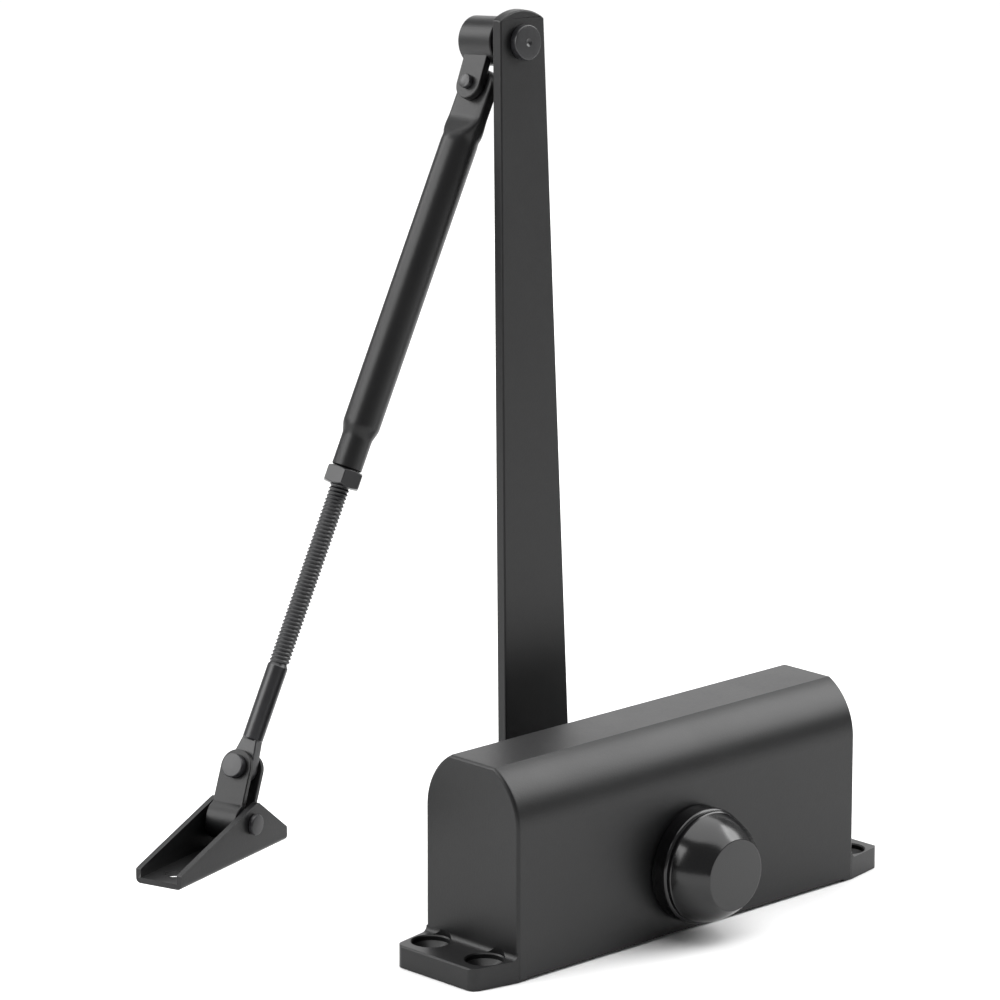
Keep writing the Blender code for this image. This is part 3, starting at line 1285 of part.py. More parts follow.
forearm_axis = empty("forearm_axis", forearm_frame, elbow_axis)
child_of(make_tube(forearm_frame, forearm_length), forearm_axis)
rod_axis = empty("rod_axis", rod_frame, forearm_axis)
child_of(make_nut(rod_frame), rod_axis)
child_of(make_rod(rod_frame), rod_axis)

yoke_axis = empty("yoke_axis", yoke_frame @ shift(z=YOKE_RISE), rod_axis)
for piece in make_yoke(yoke_frame):
    child_of(piece, yoke_axis)
bracket_axis = empty("bracket_axis", bracket_pin_frame(), yoke_axis)
for piece in make_bracket(bracket_frame()):
    child_of(piece, bracket_axis)
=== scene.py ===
"""Surfaces, finishes, light and camera for the door closer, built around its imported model.

Metres, +Z up and away from the door face, +X along the body, +Y out of the body on the
arm's side. Each class below models one sub-assembly in its own local frame, and the
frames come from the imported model's joints.
"""
import json
import logging
import math
from dataclasses import dataclass
from enum import Enum

import bmesh
import bpy
from mathutils import Matrix, Vector


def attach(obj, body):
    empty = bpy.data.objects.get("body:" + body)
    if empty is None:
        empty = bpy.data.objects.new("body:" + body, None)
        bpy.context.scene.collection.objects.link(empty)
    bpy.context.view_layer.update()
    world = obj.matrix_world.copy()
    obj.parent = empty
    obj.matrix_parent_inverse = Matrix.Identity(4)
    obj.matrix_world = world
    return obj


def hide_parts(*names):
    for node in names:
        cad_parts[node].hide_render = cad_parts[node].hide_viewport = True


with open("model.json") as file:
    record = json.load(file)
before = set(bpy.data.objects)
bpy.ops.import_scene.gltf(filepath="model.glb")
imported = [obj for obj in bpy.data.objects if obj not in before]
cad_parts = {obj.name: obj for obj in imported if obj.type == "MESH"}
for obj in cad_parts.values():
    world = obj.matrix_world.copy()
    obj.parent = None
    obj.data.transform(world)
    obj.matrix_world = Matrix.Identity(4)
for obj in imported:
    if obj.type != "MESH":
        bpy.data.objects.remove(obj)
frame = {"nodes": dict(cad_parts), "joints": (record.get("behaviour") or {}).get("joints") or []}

logging.basicConfig(level=logging.INFO, format="%(message)s")
LOG = logging.getLogger("door_closer")

GAP = 0.0003
OVERCUT = 0.002
MERGE = 0.000001
Point = tuple[float, float]
TO_X = Matrix.Rotation(math.radians(90), 4, "Y")
TO_Y = Matrix.Rotation(math.radians(-90), 4, "X")
TO_MINUS_Y = Matrix.Rotation(math.radians(90), 4, "X")
SIDE_ON = Matrix(((0, 0, 1, 0), (1, 0, 0, 0), (0, 1, 0, 0), (0, 0, 0, 1)))
FACE_ON = Matrix(((1, 0, 0, 0), (0, 0, -1, 0), (0, 1, 0, 0), (0, 0, 0, 1)))


class Cut(Enum):
    """How a tool shape changes a blank."""

    JOIN = "UNION"
    REMOVE = "DIFFERENCE"
    KEEP = "INTERSECT"


# ---------------------------------------------------------------- shapes
def shift(x: float = 0.0, y: float = 0.0, z: float = 0.0) -> Matrix:
    """A move by x, y and z."""
    return Matrix.Translation((x, y, z))


def arc(centre: Point, radius: float, start: float, end: float, steps: int) -> list[Point]:
    """Points on an arc.

    Args:
        centre: Middle of the circle.
        radius: Its radius.
        start: First angle in degrees.
        end: Last angle in degrees.
        steps: How many chords the arc has.

    Returns:
        The points, both ends included.
    """
    points = []
    for step in range(steps + 1):
        angle = math.radians(start + (end - start) * step / steps)
        points.append((centre[0] + radius * math.cos(angle), centre[1] + radius * math.sin(angle)))
    return points


def rounded_outline(corners: list[Point], radii: list[float], steps: int = 6) -> list[Point]:
    """Round each corner of a polygon with an arc tangent to both of its sides.

    Args:
        corners: The polygon's corners in order.
        radii: One radius for each corner; zero leaves it sharp.
        steps: Chords in each arc.

    Returns:
        The rounded outline.
    """
    points: list[Point] = []
    count = len(corners)
    for index, radius in enumerate(radii):
        corner = Vector(corners[index])
        if radius <= 0:
            points.append(tuple(corner))
            continue
        before = (Vector(corners[index - 1]) - corner).normalized()
        after = (Vector(corners[(index + 1) % count]) - corner).normalized()
        half = before.angle(after) / 2
        reach = radius / math.tan(half)
        centre = corner + (before + after).normalized() * (radius / math.sin(half))
        first = corner + before * reach - centre
        last = corner + after * reach - centre
        turn = first.angle_signed(last)
        for step in range(steps + 1):
            points.append(tuple(centre + Matrix.Rotation(-turn * step / steps, 2) @ first))
    return points


def turned(profile: list[Point], steps: int = 64, closed: bool = False) -> bmesh.types.BMesh:
    """Spin (radius, height) points about Z.

    Args:
        profile: The half section.
        steps: Sides of the turned shape.
        closed: Whether the section is a loop clear of the axis.

    Returns:
        The closed shape.
    """
    bm = bmesh.new()
    points = [bm.verts.new((radius, 0, height)) for radius, height in profile]
    pairs = list(zip(points, points[1:]))
    if closed:
        pairs.append((points[-1], points[0]))
    edges = [bm.edges.new(pair) for pair in pairs]
    bmesh.ops.spin(
        bm,
        geom=points + edges,
        cent=(0, 0, 0),
        axis=(0, 0, 1),
        angle=math.tau,
        steps=steps,
        use_merge=True,
    )
    return tidied(bm)


def tidied(bm: bmesh.types.BMesh) -> bmesh.types.BMesh:
    """Merge doubles and turn the faces outwards."""
    bmesh.ops.remove_doubles(bm, verts=bm.verts, dist=MERGE)
    bmesh.ops.dissolve_degenerate(bm, edges=bm.edges, dist=MERGE)
    bmesh.ops.recalc_face_normals(bm, faces=bm.faces)
    return bm


def plate(outline: list[Point], low: float, high: float) -> bmesh.types.BMesh:
    """Extrude a flat outline.

    Args:
        outline: Its corners in X and Y.
        low: Where the plate starts in Z.
        high: Where it ends.

    Returns:
        The closed plate.
    """
    bm = bmesh.new()
    face = bm.faces.new([bm.verts.new((x, y, low)) for x, y in outline])
    grown = bmesh.ops.extrude_face_region(bm, geom=[face])
    raised = [item for item in grown["geom"] if isinstance(item, bmesh.types.BMVert)]
    bmesh.ops.translate(bm, verts=raised, vec=(0, 0, high - low))
    return tidied(bm)


def block(low: tuple[float, float, float], high: tuple[float, float, float]) -> bmesh.types.BMesh:
    """A box between two corners."""
    outline = [(low[0], low[1]), (high[0], low[1]), (high[0], high[1]), (low[0], high[1])]
    return plate(outline, low[2], high[2])


def round_bar(radius: float, low: float, high: float, steps: int = 64) -> bmesh.types.BMesh:
    """A cylinder along Z from low to high."""
    bm = bmesh.new()
    bmesh.ops.create_cone(
        bm, cap_ends=True, segments=steps, radius1=radius, radius2=radius, depth=high - low
    )
    bmesh.ops.translate(bm, verts=bm.verts, vec=(0, 0, (high + low) / 2))
    return bm


def placed(bm: bmesh.types.BMesh, place: Matrix) -> bmesh.types.BMesh:
    """Move a shape into another frame."""
    bmesh.ops.transform(bm, matrix=place, verts=bm.verts)
    return bm


def soften(
    bm: bmesh.types.BMesh, width: float, segments: int = 2, above: float = 40.0
) -> bmesh.types.BMesh:
    """Bevel every edge whose faces meet at more than an angle.

    Args:
        bm: The shape.
        width: The bevel's width.
        segments: How many faces it has.
        above: The least angle in degrees.

    Returns:
        The same shape.
    """
    sharp = [edge for edge in bm.edges if math.degrees(edge.calc_face_angle(0)) > above]
    bmesh.ops.bevel(
        bm,
        geom=sharp,
        offset=width,
        segments=segments,
        profile=0.5,
        affect="EDGES",
        material=-1,
        clamp_overlap=True,
    )
    return bm


def temporary(bm: bmesh.types.BMesh) -> bpy.types.Object:
    """An object that holds a shape while it is cut."""
    mesh = bpy.data.meshes.new("blank")
    bm.to_mesh(mesh)
    bm.free()
    item = bpy.data.objects.new("blank", mesh)
    bpy.context.scene.collection.objects.link(item)
    return item


def combined(base: bmesh.types.BMesh, tools: list[bmesh.types.BMesh], how: Cut) -> bmesh.types.BMesh:
    """Join, cut or trim a closed shape with others.

    Args:
        base: The blank.
        tools: The other closed shapes.
        how: What the tools do.

    Returns:
        The changed shape; the shapes passed in are used up.
    """
    keeper = temporary(base)
    helpers = [temporary(tool) for tool in tools]
    for helper in helpers:
        step = keeper.modifiers.new("cut", "BOOLEAN")
        step.operation = how.value
        step.solver = "EXACT"
        step.object = helper
    depsgraph = bpy.context.evaluated_depsgraph_get()
    depsgraph.update()
    mesh = bpy.data.meshes.new_from_object(keeper.evaluated_get(depsgraph))
    changed = bmesh.new()
    changed.from_mesh(mesh)
    bpy.data.meshes.remove(mesh)
    for item in [keeper, *helpers]:
        bpy.data.objects.remove(item, do_unlink=True)
    return tidied(changed)


# ---------------------------------------------------------------- shared effects
class Tree:
    """A short way to wire shader nodes."""

    def __init__(self, tree: bpy.types.NodeTree) -> None:
        """Keep the node tree."""
        self.tree = tree

    def node(self, kind: str, **settings: object) -> bpy.types.Node:
        """Add a node and set its options.

        Args:
            kind: The node's type.
            **settings: Options and input values; an input is named with underscores.

        Returns:
            The new node.
        """
        made = self.tree.nodes.new(kind)
        for name, value in settings.items():
            if hasattr(made, name):
                setattr(made, name, value)
            else:
                made.inputs[name.replace("_", " ")].default_value = value
        return made

    def link(self, source: bpy.types.NodeSocket, target: bpy.types.NodeSocket) -> None:
        """Join an output to an input."""
        self.tree.links.new(source, target)

    def maths(self, how: str, first: object, second: object) -> bpy.types.NodeSocket:
        """Add a Math node.

        Args:
            how: The operation.
            first: A socket or a number.
            second: A socket or a number.

        Returns:
            The result's socket.
        """
        made = self.tree.nodes.new("ShaderNodeMath")
        made.operation = how
        for socket, value in zip(made.inputs, (first, second)):
            if isinstance(value, bpy.types.NodeSocket):
                self.link(value, socket)
            else:
                socket.default_value = value
        return made.outputs[0]


def new_group(
    name: str, inputs: dict[str, float], outputs: list[str]
) -> tuple[Tree, bpy.types.Node, bpy.types.Node]:
    """Start a shader node group of float sockets.

    Args:
        name: The group's name.
        inputs: Each input and its usual value.
        outputs: The outputs' names.

    Returns:
        The tree, its input node and its output node.
    """
    group = bpy.data.node_groups.new(name, "ShaderNodeTree")
    for label, value in inputs.items():
        socket = group.interface.new_socket(label, in_out="INPUT", socket_type="NodeSocketFloat")
        socket.default_value = value
    for label in outputs:
        group.interface.new_socket(label, in_out="OUTPUT", socket_type="NodeSocketFloat")
    entry = group.nodes.new("NodeGroupInput")
    leave = group.nodes.new("NodeGroupOutput")
    return Tree(group), entry, leave


def coat_texture_group() -> bpy.types.NodeTree:
    """Fine pebbled relief of a sprayed or moulded skin, and the slow drift of its gloss."""
    tree, entry, leave = new_group(
        "skin_texture", {"Pebbles per metre": 1600.0, "Cloud per metre": 45.0}, ["Height", "Cloud", "Speck"]
    )
    place = tree.node("ShaderNodeTexCoord")
    pebbles = tree.node("ShaderNodeTexNoise", Detail=2.0, Roughness=0.45)
    cloud = tree.node("ShaderNodeTexNoise", Detail=3.0, Roughness=0.55)
    speck = tree.node("ShaderNodeTexVoronoi", Randomness=1.0)
    for texture in (pebbles, cloud, speck):
        tree.link(place.outputs["Object"], texture.inputs["Vector"])
    tree.link(entry.outputs["Pebbles per metre"], pebbles.inputs["Scale"])
    tree.link(entry.outputs["Cloud per metre"], cloud.inputs["Scale"])
    tree.link(tree.maths("MULTIPLY", entry.outputs["Pebbles per metre"], 0.6), speck.inputs["Scale"])
    tree.link(pebbles.outputs["Fac"], leave.inputs["Height"])
    tree.link(cloud.outputs["Fac"], leave.inputs["Cloud"])
    tree.link(speck.outputs["Distance"], leave.inputs["Speck"])
    return tree.tree


def edge_wear_group() -> bpy.types.NodeTree:
    """A mask that rises along outer edges, broken up by noise."""
    tree, entry, leave = new_group("edge_wear", {"Start": 0.52, "Width": 0.05}, ["Mask"])
    place = tree.node("ShaderNodeTexCoord")
    shape = tree.node("ShaderNodeNewGeometry")
    noise = tree.node("ShaderNodeTexNoise", Scale=420.0, Detail=4.0)
    tree.link(place.outputs["Object"], noise.inputs["Vector"])
    broken = tree.maths("MULTIPLY", tree.maths("SUBTRACT", noise.outputs["Fac"], 0.5), 0.06)
    point = tree.maths("ADD", shape.outputs["Pointiness"], broken)
    past_start = tree.maths("SUBTRACT", point, entry.outputs["Start"])
    rise = tree.maths("DIVIDE", past_start, entry.outputs["Width"])
    capped = tree.maths("MINIMUM", tree.maths("MAXIMUM", rise, 0.0), 1.0)
    tree.link(capped, leave.inputs["Mask"])
    return tree.tree


def tool_mark_group() -> bpy.types.NodeTree:
    """Fine lines round an axis or along a drawn bar, from a stretched noise."""
    inputs = {"Lines per metre": 2600.0, "Stretch": 0.06}
    tree, entry, leave = new_group("tool_marks", inputs, ["Height", "Streak"])
    place = tree.node("ShaderNodeTexCoord")
    split = tree.node("ShaderNodeSeparateXYZ")
    join = tree.node("ShaderNodeCombineXYZ")
    tree.link(place.outputs["Object"], split.inputs[0])
    for axis in ("X", "Y"):
        tree.link(split.outputs[axis], join.inputs[axis])
    tree.link(tree.maths("MULTIPLY", split.outputs["Z"], entry.outputs["Stretch"]), join.inputs["Z"])
    lines = tree.node("ShaderNodeTexNoise", Detail=3.0, Roughness=0.6)
    tree.link(join.outputs[0], lines.inputs["Vector"])
    tree.link(entry.outputs["Lines per metre"], lines.inputs["Scale"])
    tree.link(lines.outputs["Fac"], leave.inputs["Height"])
    tree.link(lines.outputs["Fac"], leave.inputs["Streak"])
    return tree.tree


@dataclass(frozen=True)
class Effects:
    """The shader groups that the finishes share."""

    skin: bpy.types.NodeTree
    wear: bpy.types.NodeTree
    marks: bpy.types.NodeTree

    @classmethod
    def build(cls) -> "Effects":
        """Make the three groups once."""
        return cls(coat_texture_group(), edge_wear_group(), tool_mark_group())


# ---------------------------------------------------------------- finishes
@dataclass(frozen=True)
class Finish:
    """One surface finish: its colour and gloss, its relief and how both drift."""

    name: str
    colour: tuple[float, float, float]
    worn: tuple[float, float, float]
    roughness: float
    metallic: float = 0.0
    drift: float = 0.05
    pebbles: float = 1600.0
    relief: float = 0.12
    lines: float = 0.0
    wear: float = 0.25
    specular: float = 0.5

    def material(self, effects: Effects) -> bpy.types.Material:
        """Wire this finish.

        Args:
            effects: The shared shader groups.

        Returns:
            The material, made once for each finish.
        """
        if self.name in bpy.data.materials:
            return bpy.data.materials[self.name]
        made = bpy.data.materials.new(self.name)
        made.use_nodes = True
        tree = Tree(made.node_tree)
        shader = made.node_tree.nodes["Principled BSDF"]
        shader.inputs["Metallic"].default_value = self.metallic
        shader.inputs["Specular IOR Level"].default_value = self.specular
        skin = tree.node("ShaderNodeGroup", node_tree=effects.skin)
        skin.inputs["Pebbles per metre"].default_value = self.pebbles
        wear = tree.node("ShaderNodeGroup", node_tree=effects.wear)
        tint = tree.node("ShaderNodeMix", data_type="RGBA")
        colours = [socket for socket in tint.inputs if socket.type == "RGBA"]
        colours[0].default_value = (*self.colour, 1.0)
        colours[1].default_value = (*self.worn, 1.0)
        blended = next(socket for socket in tint.outputs if socket.type == "RGBA")
        spread = tree.maths("MULTIPLY", tree.maths("SUBTRACT", skin.outputs["Cloud"], 0.5), 0.3)
        mask = tree.maths("ADD", tree.maths("MULTIPLY", wear.outputs["Mask"], self.wear), spread)
        tree.link(mask, tint.inputs[0])
        tree.link(blended, shader.inputs["Base Color"])
        swing = tree.maths("MULTIPLY", tree.maths("SUBTRACT", skin.outputs["Cloud"], 0.5), self.drift * 2)
        speck = tree.maths("MULTIPLY", skin.outputs["Speck"], self.drift * 0.5)
        gloss = tree.maths("ADD", tree.maths("ADD", swing, self.roughness), speck)
        height = skin.outputs["Height"]
        if self.lines:
            marks = tree.node("ShaderNodeGroup", node_tree=effects.marks)
            marks.inputs["Lines per metre"].default_value = self.lines
            height = tree.maths("ADD", marks.outputs["Height"], tree.maths("MULTIPLY", height, 0.3))
            gloss = tree.maths("ADD", gloss, tree.maths("MULTIPLY", marks.outputs["Streak"], self.drift))
        tree.link(gloss, shader.inputs["Roughness"])
        bump = tree.node("ShaderNodeBump", Strength=self.relief, Distance=0.0002)
        tree.link(height, bump.inputs["Height"])
        tree.link(bump.outputs["Normal"], shader.inputs["Normal"])
        return made


POWDER_COAT = Finish(
    "black_powder_coat", (0.0042, 0.0042, 0.0045), (0.012, 0.012, 0.013), 0.36, specular=0.36
)
SATIN_PLASTIC = Finish(
    "black_satin_plastic",
    (0.0025, 0.0025, 0.0028),
    (0.007, 0.007, 0.008),
    0.17,
    pebbles=2600.0,
    relief=0.03,
    wear=0.1,
)
BLACKED_STEEL = Finish(
    "blacked_steel", (0.006, 0.006, 0.007), (0.03, 0.03, 0.033), 0.28, lines=2200.0, relief=0.08, wear=0.4
)
BRIGHT_STEEL = Finish(
    "machined_steel", (0.42, 0.42, 0.44), (0.62, 0.62, 0.64), 0.26, metallic=1.0, lines=3200.0, wear=0.5
)
BEARING_BRONZE = Finish(
    "bearing_bronze", (0.45, 0.29, 0.12), (0.62, 0.44, 0.22), 0.34, metallic=1.0, lines=1800.0, wear=0.4
)
SPRING_STEEL = Finish(
    "oil_tempered_steel", (0.16, 0.17, 0.20), (0.34, 0.35, 0.38), 0.30, metallic=1.0, lines=2000.0, wear=0.4
)
SEAL_RUBBER = Finish(
    "seal_rubber", (0.012, 0.012, 0.012), (0.02, 0.02, 0.02), 0.62, pebbles=3200.0, relief=0.2
)


class Slot(Enum):
    """The record's material slots, each with the finish that dresses its plain nodes."""

    BLACK_COAT = "black_coat"
    BLACK_PLASTIC = "black_plastic"
    BLACK_STEEL = "black_steel"
    STEEL = "steel"
    BRONZE = "bronze"
    SPRING_STEEL = "spring_steel"
    SEAL_RUBBER = "seal_rubber"


SLOT_FINISH = {
    Slot.BLACK_COAT: POWDER_COAT,
    Slot.BLACK_PLASTIC: SATIN_PLASTIC,
    Slot.BLACK_STEEL: BLACKED_STEEL,
    Slot.STEEL: BRIGHT_STEEL,
    Slot.BRONZE: BEARING_BRONZE,
    Slot.SPRING_STEEL: SPRING_STEEL,
    Slot.SEAL_RUBBER: SEAL_RUBBER,
}


# ---------------------------------------------------------------- pieces
@dataclass
class Workshop:
    """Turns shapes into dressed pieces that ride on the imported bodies."""

    effects: Effects

    def add(
        self,
        name: str,
        shape: bmesh.types.BMesh,
        place: Matrix,
        slot: Slot,
        body: str,
        stands_for: str | None = None,
        bevel: float = 0.0,
        crease: float = 32.0,
    ) -> bpy.types.Object:
        """Make one piece.

        Args:
            name: The piece's name.
            shape: Its shape in a local frame; it is used up.
            place: The local frame.
            slot: The material slot it belongs to.
            body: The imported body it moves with.
            stands_for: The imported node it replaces, if any.
            bevel: Width of the rounding that breaks its edges.
            crease: Angle in degrees above which an edge stays sharp.

        Returns:
            The new object.
        """
        tidied(placed(shape, place))
        mesh = bpy.data.meshes.new(name)
        shape.to_mesh(mesh)
        shape.free()
        mesh.shade_smooth()
        mesh.set_sharp_from_angle(angle=math.radians(crease))
        mesh.materials.append(SLOT_FINISH[slot].material(self.effects))
        item = bpy.data.objects.new(name, mesh)
        bpy.context.scene.collection.objects.link(item)
        if bevel > 0:
            rounding = item.modifiers.new("broken_edges", "BEVEL")
            rounding.width = bevel
            rounding.segments = 3
            rounding.limit_method = "ANGLE"
            rounding.angle_limit = math.radians(40)
            rounding.use_clamp_overlap = True
            rounding.harden_normals = True
        evened = item.modifiers.new("even_shading", "WEIGHTED_NORMAL")
        evened.keep_sharp = True
        evened.weight = 80
        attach(item, body)
        if stands_for:
            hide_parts(stands_for)
        LOG.info("piece %s on %s", name, body)
        return item

    def dress(self, node: str, slot: Slot) -> None:
        """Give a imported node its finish.

        Args:
            node: The node's name.
            slot: The material slot it belongs to.
        """
        item = frame["nodes"][node]
        item.data.materials.clear()
        item.data.materials.append(SLOT_FINISH[slot].material(self.effects))
        LOG.info("dressed %s", node)


@dataclass
class Frames:
    """Local frames of the moving sub-assemblies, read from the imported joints."""

    pinion: Matrix
    arm: Matrix
    elbow: Matrix
    knuckle: Matrix
    forearm: Matrix
    rod: Matrix
    yoke: Matrix
    bracket: Matrix

    @staticmethod
    def made(origin: Vector, x_axis: Vector, y_axis: Vector, z_axis: Vector) -> Matrix:
        """A frame from its origin and its three directions."""
        place = Matrix((x_axis, y_axis, z_axis)).transposed().to_4x4()
        place.translation = origin
        return place

    @classmethod
    def read(cls, sizes: "LinkageSizes") -> "Frames":
        """Work the frames out.

        Args:
            sizes: The offsets between the joints and the pieces.

        Returns:
            All the frames.
        """
        joints = {joint["name"]: joint for joint in frame["joints"]}

        def origin(name: str) -> Vector:
            """Where a joint is."""
            return Vector(joints[name]["pos_m"])

        def axis(name: str) -> Vector:
            """Which way a joint's axis points."""
            return Vector(joints[name]["axis"]).normalized()

        centre = origin("pinion_turn")
        pin = axis("elbow_turn")
        across = -Vector((0, 1, 0)).cross(pin).normalized()
        side = Vector((0, 1, 0))
        arm = cls.made(centre, across, side, across.cross(side))
        tilt = axis("forearm_tilt")
        tilt = (tilt - pin * tilt.dot(pin)).normalized()
        up = tilt.cross(pin)
        rivet = origin("forearm_tilt")
        middle = rivet + up * sizes.tongue_reach + tilt * sizes.tube_offset
        knuckle = cls.made(middle, tilt, pin, up)
        elbow = cls.made(middle - pin * sizes.knuckle_middle, across, pin, across.cross(pin))
        eye = origin("yoke_turn")
        along = (rivet - eye).normalized()
        turn = axis("yoke_turn")
        forearm = cls.made(rivet, tilt, along.cross(tilt), along)
        rod = cls.made(eye, turn, along.cross(turn), along)
        bracket_pin = origin("bracket_turn")
        width = axis("bracket_turn")
        rise = (eye - bracket_pin).normalized()
        yoke = cls.made(bracket_pin, width.cross(rise), width, rise)
        upward = Vector((0, 0, 1))
        length = width.cross(upward)
        pin_in_bracket = length * sizes.pin_along + width * sizes.pin_across + upward * sizes.pin_height
        corner = bracket_pin - pin_in_bracket
        bracket = cls.made(corner, length, width, upward)
        return cls(Matrix.Translation(centre), arm, elbow, knuckle, forearm, rod, yoke, bracket)


@dataclass
class LinkageSizes:
    """Offsets that place each linkage piece from its joints."""

    tongue_reach: float = 0.0153
    tube_offset: float = -0.0002
    knuckle_middle: float = 0.0146
    pin_along: float = 0.0407
    pin_across: float = 0.0084
    pin_height: float = 0.0104


@dataclass
class Body:
    """The casting with its feet, bores and seats, and what closes them."""

    length: float = 0.1488
    width: float = 0.041
    height: float = 0.06555
    top_flat: float = 0.0193
    end_rounding: float = 0.0013
    underside: float = 0.0008
    foot_thickness: float = 0.007
    foot_reach: float = 0.0157
    foot_tip: float = 0.034
    foot_corner: float = 0.0034
    foot_fillet: float = 0.0019
    hole_radius: float = 0.0033
    hole_head_radius: float = 0.0059
    hole_head_depth: float = 0.0030
    hole_past_body: float = 0.0059
    hole_across: float = 0.0119
    bore_radius: float = 0.016
    bore_height: float = 0.042
    blind_wall: float = 0.0084
    plug_radius: float = 0.017
    plug_head: float = 0.008
    key_radius: float = 0.0019
    key_across: float = 0.009
    chamber_radius: float = 0.0103
    gland_radius: float = 0.012
    gland_depth: float = 0.0062
    gland_rim_radius: float = 0.0112
    gland_rim_height: float = 0.003
    journal_radius: float = 0.006
    valve_radius: float = 0.003
    valve_length: float = 0.020
    valve_across: float = 0.0085
    valve_height: float = 0.0125

    @property
    def half(self) -> float:
        """Half the casting's length."""
        return self.length / 2

    @property
    def side(self) -> float:
        """Half the casting's width."""
        return self.width / 2

    def section(self) -> list[Point]:
        """The casting's section: straight sides under a half round, cut flat on top."""
        half_flat = self.top_flat / 2
        centre = self.height - math.sqrt(self.side**2 - half_flat**2)
        start = math.degrees(math.acos(half_flat / self.side))
        right = arc((0, centre), self.side, 0, start, 26)
        left = [(-y, z) for y, z in reversed(right)]
        return [(-self.side, self.underside), (self.side, self.underside)] + right + left

    def run(self) -> bmesh.types.BMesh:
        """The section run end to end, with its end edges rounded."""
        bm = plate(self.section(), -self.half, self.half)
        ends = []
        for edge in bm.edges:
            level = all(abs(abs(vert.co.z) - self.half) < MERGE for vert in edge.verts)
            same = abs(edge.verts[0].co.z - edge.verts[1].co.z) < MERGE
            low = all(vert.co.y < self.underside + MERGE for vert in edge.verts)
            if level and same and not low:
                ends.append(edge)
        bmesh.ops.bevel(
            bm,
            geom=ends,
            offset=self.end_rounding,
            segments=4,
            profile=0.5,
            affect="EDGES",
            material=-1,
        )
        return placed(bm, SIDE_ON)

    def foot(self) -> bmesh.types.BMesh:
        """One foot: a tapered plate whose root sweeps up to the end face."""
        root = self.half - 0.004
        reach = self.half + self.foot_reach
        top = self.foot_thickness
        sweep = arc((self.half + self.foot_fillet, top + self.foot_fillet), self.foot_fillet, 180, 270, 8)
        lip = arc((reach - 0.0008, top - 0.0008), 0.0008, 90, 0, 4)
        side = [(root, 0), (root, top + self.foot_fillet)] + sweep + lip + [(reach, 0)]
        slab = placed(plate(side, -self.side, self.side), FACE_ON)
        tip = self.foot_tip / 2
        inset = self.side - GAP
        lower = [(root, -inset), (self.half, -inset), (reach, -tip)]
        corners = lower + [(across, -along) for across, along in reversed(lower)]
        rounding = [0, 0, self.foot_corner, self.foot_corner, 0, 0]
        plan = plate(rounded_outline(corners, rounding, 8), -0.001, 0.02)
        return combined(slab, [plan], Cut.KEEP)

    def screw_hole(self) -> bmesh.types.BMesh:
        """The cutting shape of a countersunk foot hole with a broken rim."""
        top = self.foot_thickness
        floor = top - self.hole_head_depth
        taper = self.hole_head_radius - self.hole_radius
        profile = [
            (0, top + OVERCUT),
            (self.hole_head_radius + 0.0004, top + OVERCUT),
            (self.hole_head_radius + 0.0004, top),
            (self.hole_head_radius, top - 0.0004),
            (self.hole_head_radius, floor + taper * 0.5),
            (self.hole_radius, floor - taper * 0.3),
            (self.hole_radius, -OVERCUT),
            (0, -OVERCUT),
        ]
        return turned(profile, 48)

    def seat(self, radius: float, low: float, high: float, rim: float = 0.0003) -> bmesh.types.BMesh:
        """A bore along Z whose mouth at high is chamfered.

        Args:
            radius: The bore's radius.
            low: Its floor.
            high: The face it opens on.
            rim: The chamfer's width.

        Returns:
            The cutting shape.
        """
        profile = [
            (0, high + OVERCUT),
            (radius + rim + OVERCUT, high + OVERCUT),
            (radius, high - rim),
            (radius, low),
            (0, low),
        ]
        return turned(profile, 72)

    def casting(self, frames: Frames) -> bmesh.types.BMesh:
        """The whole casting with its bores.

        Args:
            frames: The sub-assemblies' frames.

        Returns:
            The finished shape in the model's frame.
        """
        feet = [self.foot(), placed(self.foot(), Matrix.Rotation(math.pi, 4, "Z"))]
        pad = soften(block((-0.023, -0.015, 0.0), (0.023, 0.015, 0.004)), 0.0002)
        shape = combined(self.run(), feet + [pad], Cut.JOIN)
        along = shift(z=self.bore_height) @ TO_X
        shoulder = self.half - GAP - self.plug_head - GAP
        cuts = [
            placed(round_bar(self.bore_radius, -self.half + self.blind_wall, self.half + OVERCUT), along),
            placed(self.seat(self.plug_radius + GAP, shoulder, self.half), along),
            placed(round_bar(self.chamber_radius, -self.side, self.side), frames.pinion @ TO_Y),
        ]
        floor = self.side - self.gland_depth - GAP
        for way in (TO_Y, TO_MINUS_Y):
            cuts.append(placed(self.seat(self.gland_radius + GAP, floor, self.side), frames.pinion @ way))
        for sign in (-1, 1):
            valve = self.seat(self.valve_radius + GAP, self.half - self.valve_length - 0.003, self.half)
            cuts.append(placed(valve, shift(y=sign * self.valve_across, z=self.valve_height) @ TO_X))
            for end in (-1, 1):
                spot = shift(end * (self.half + self.hole_past_body), sign * self.hole_across)
                cuts.append(placed(self.screw_hole(), spot))
        return combined(shape, cuts, Cut.REMOVE)

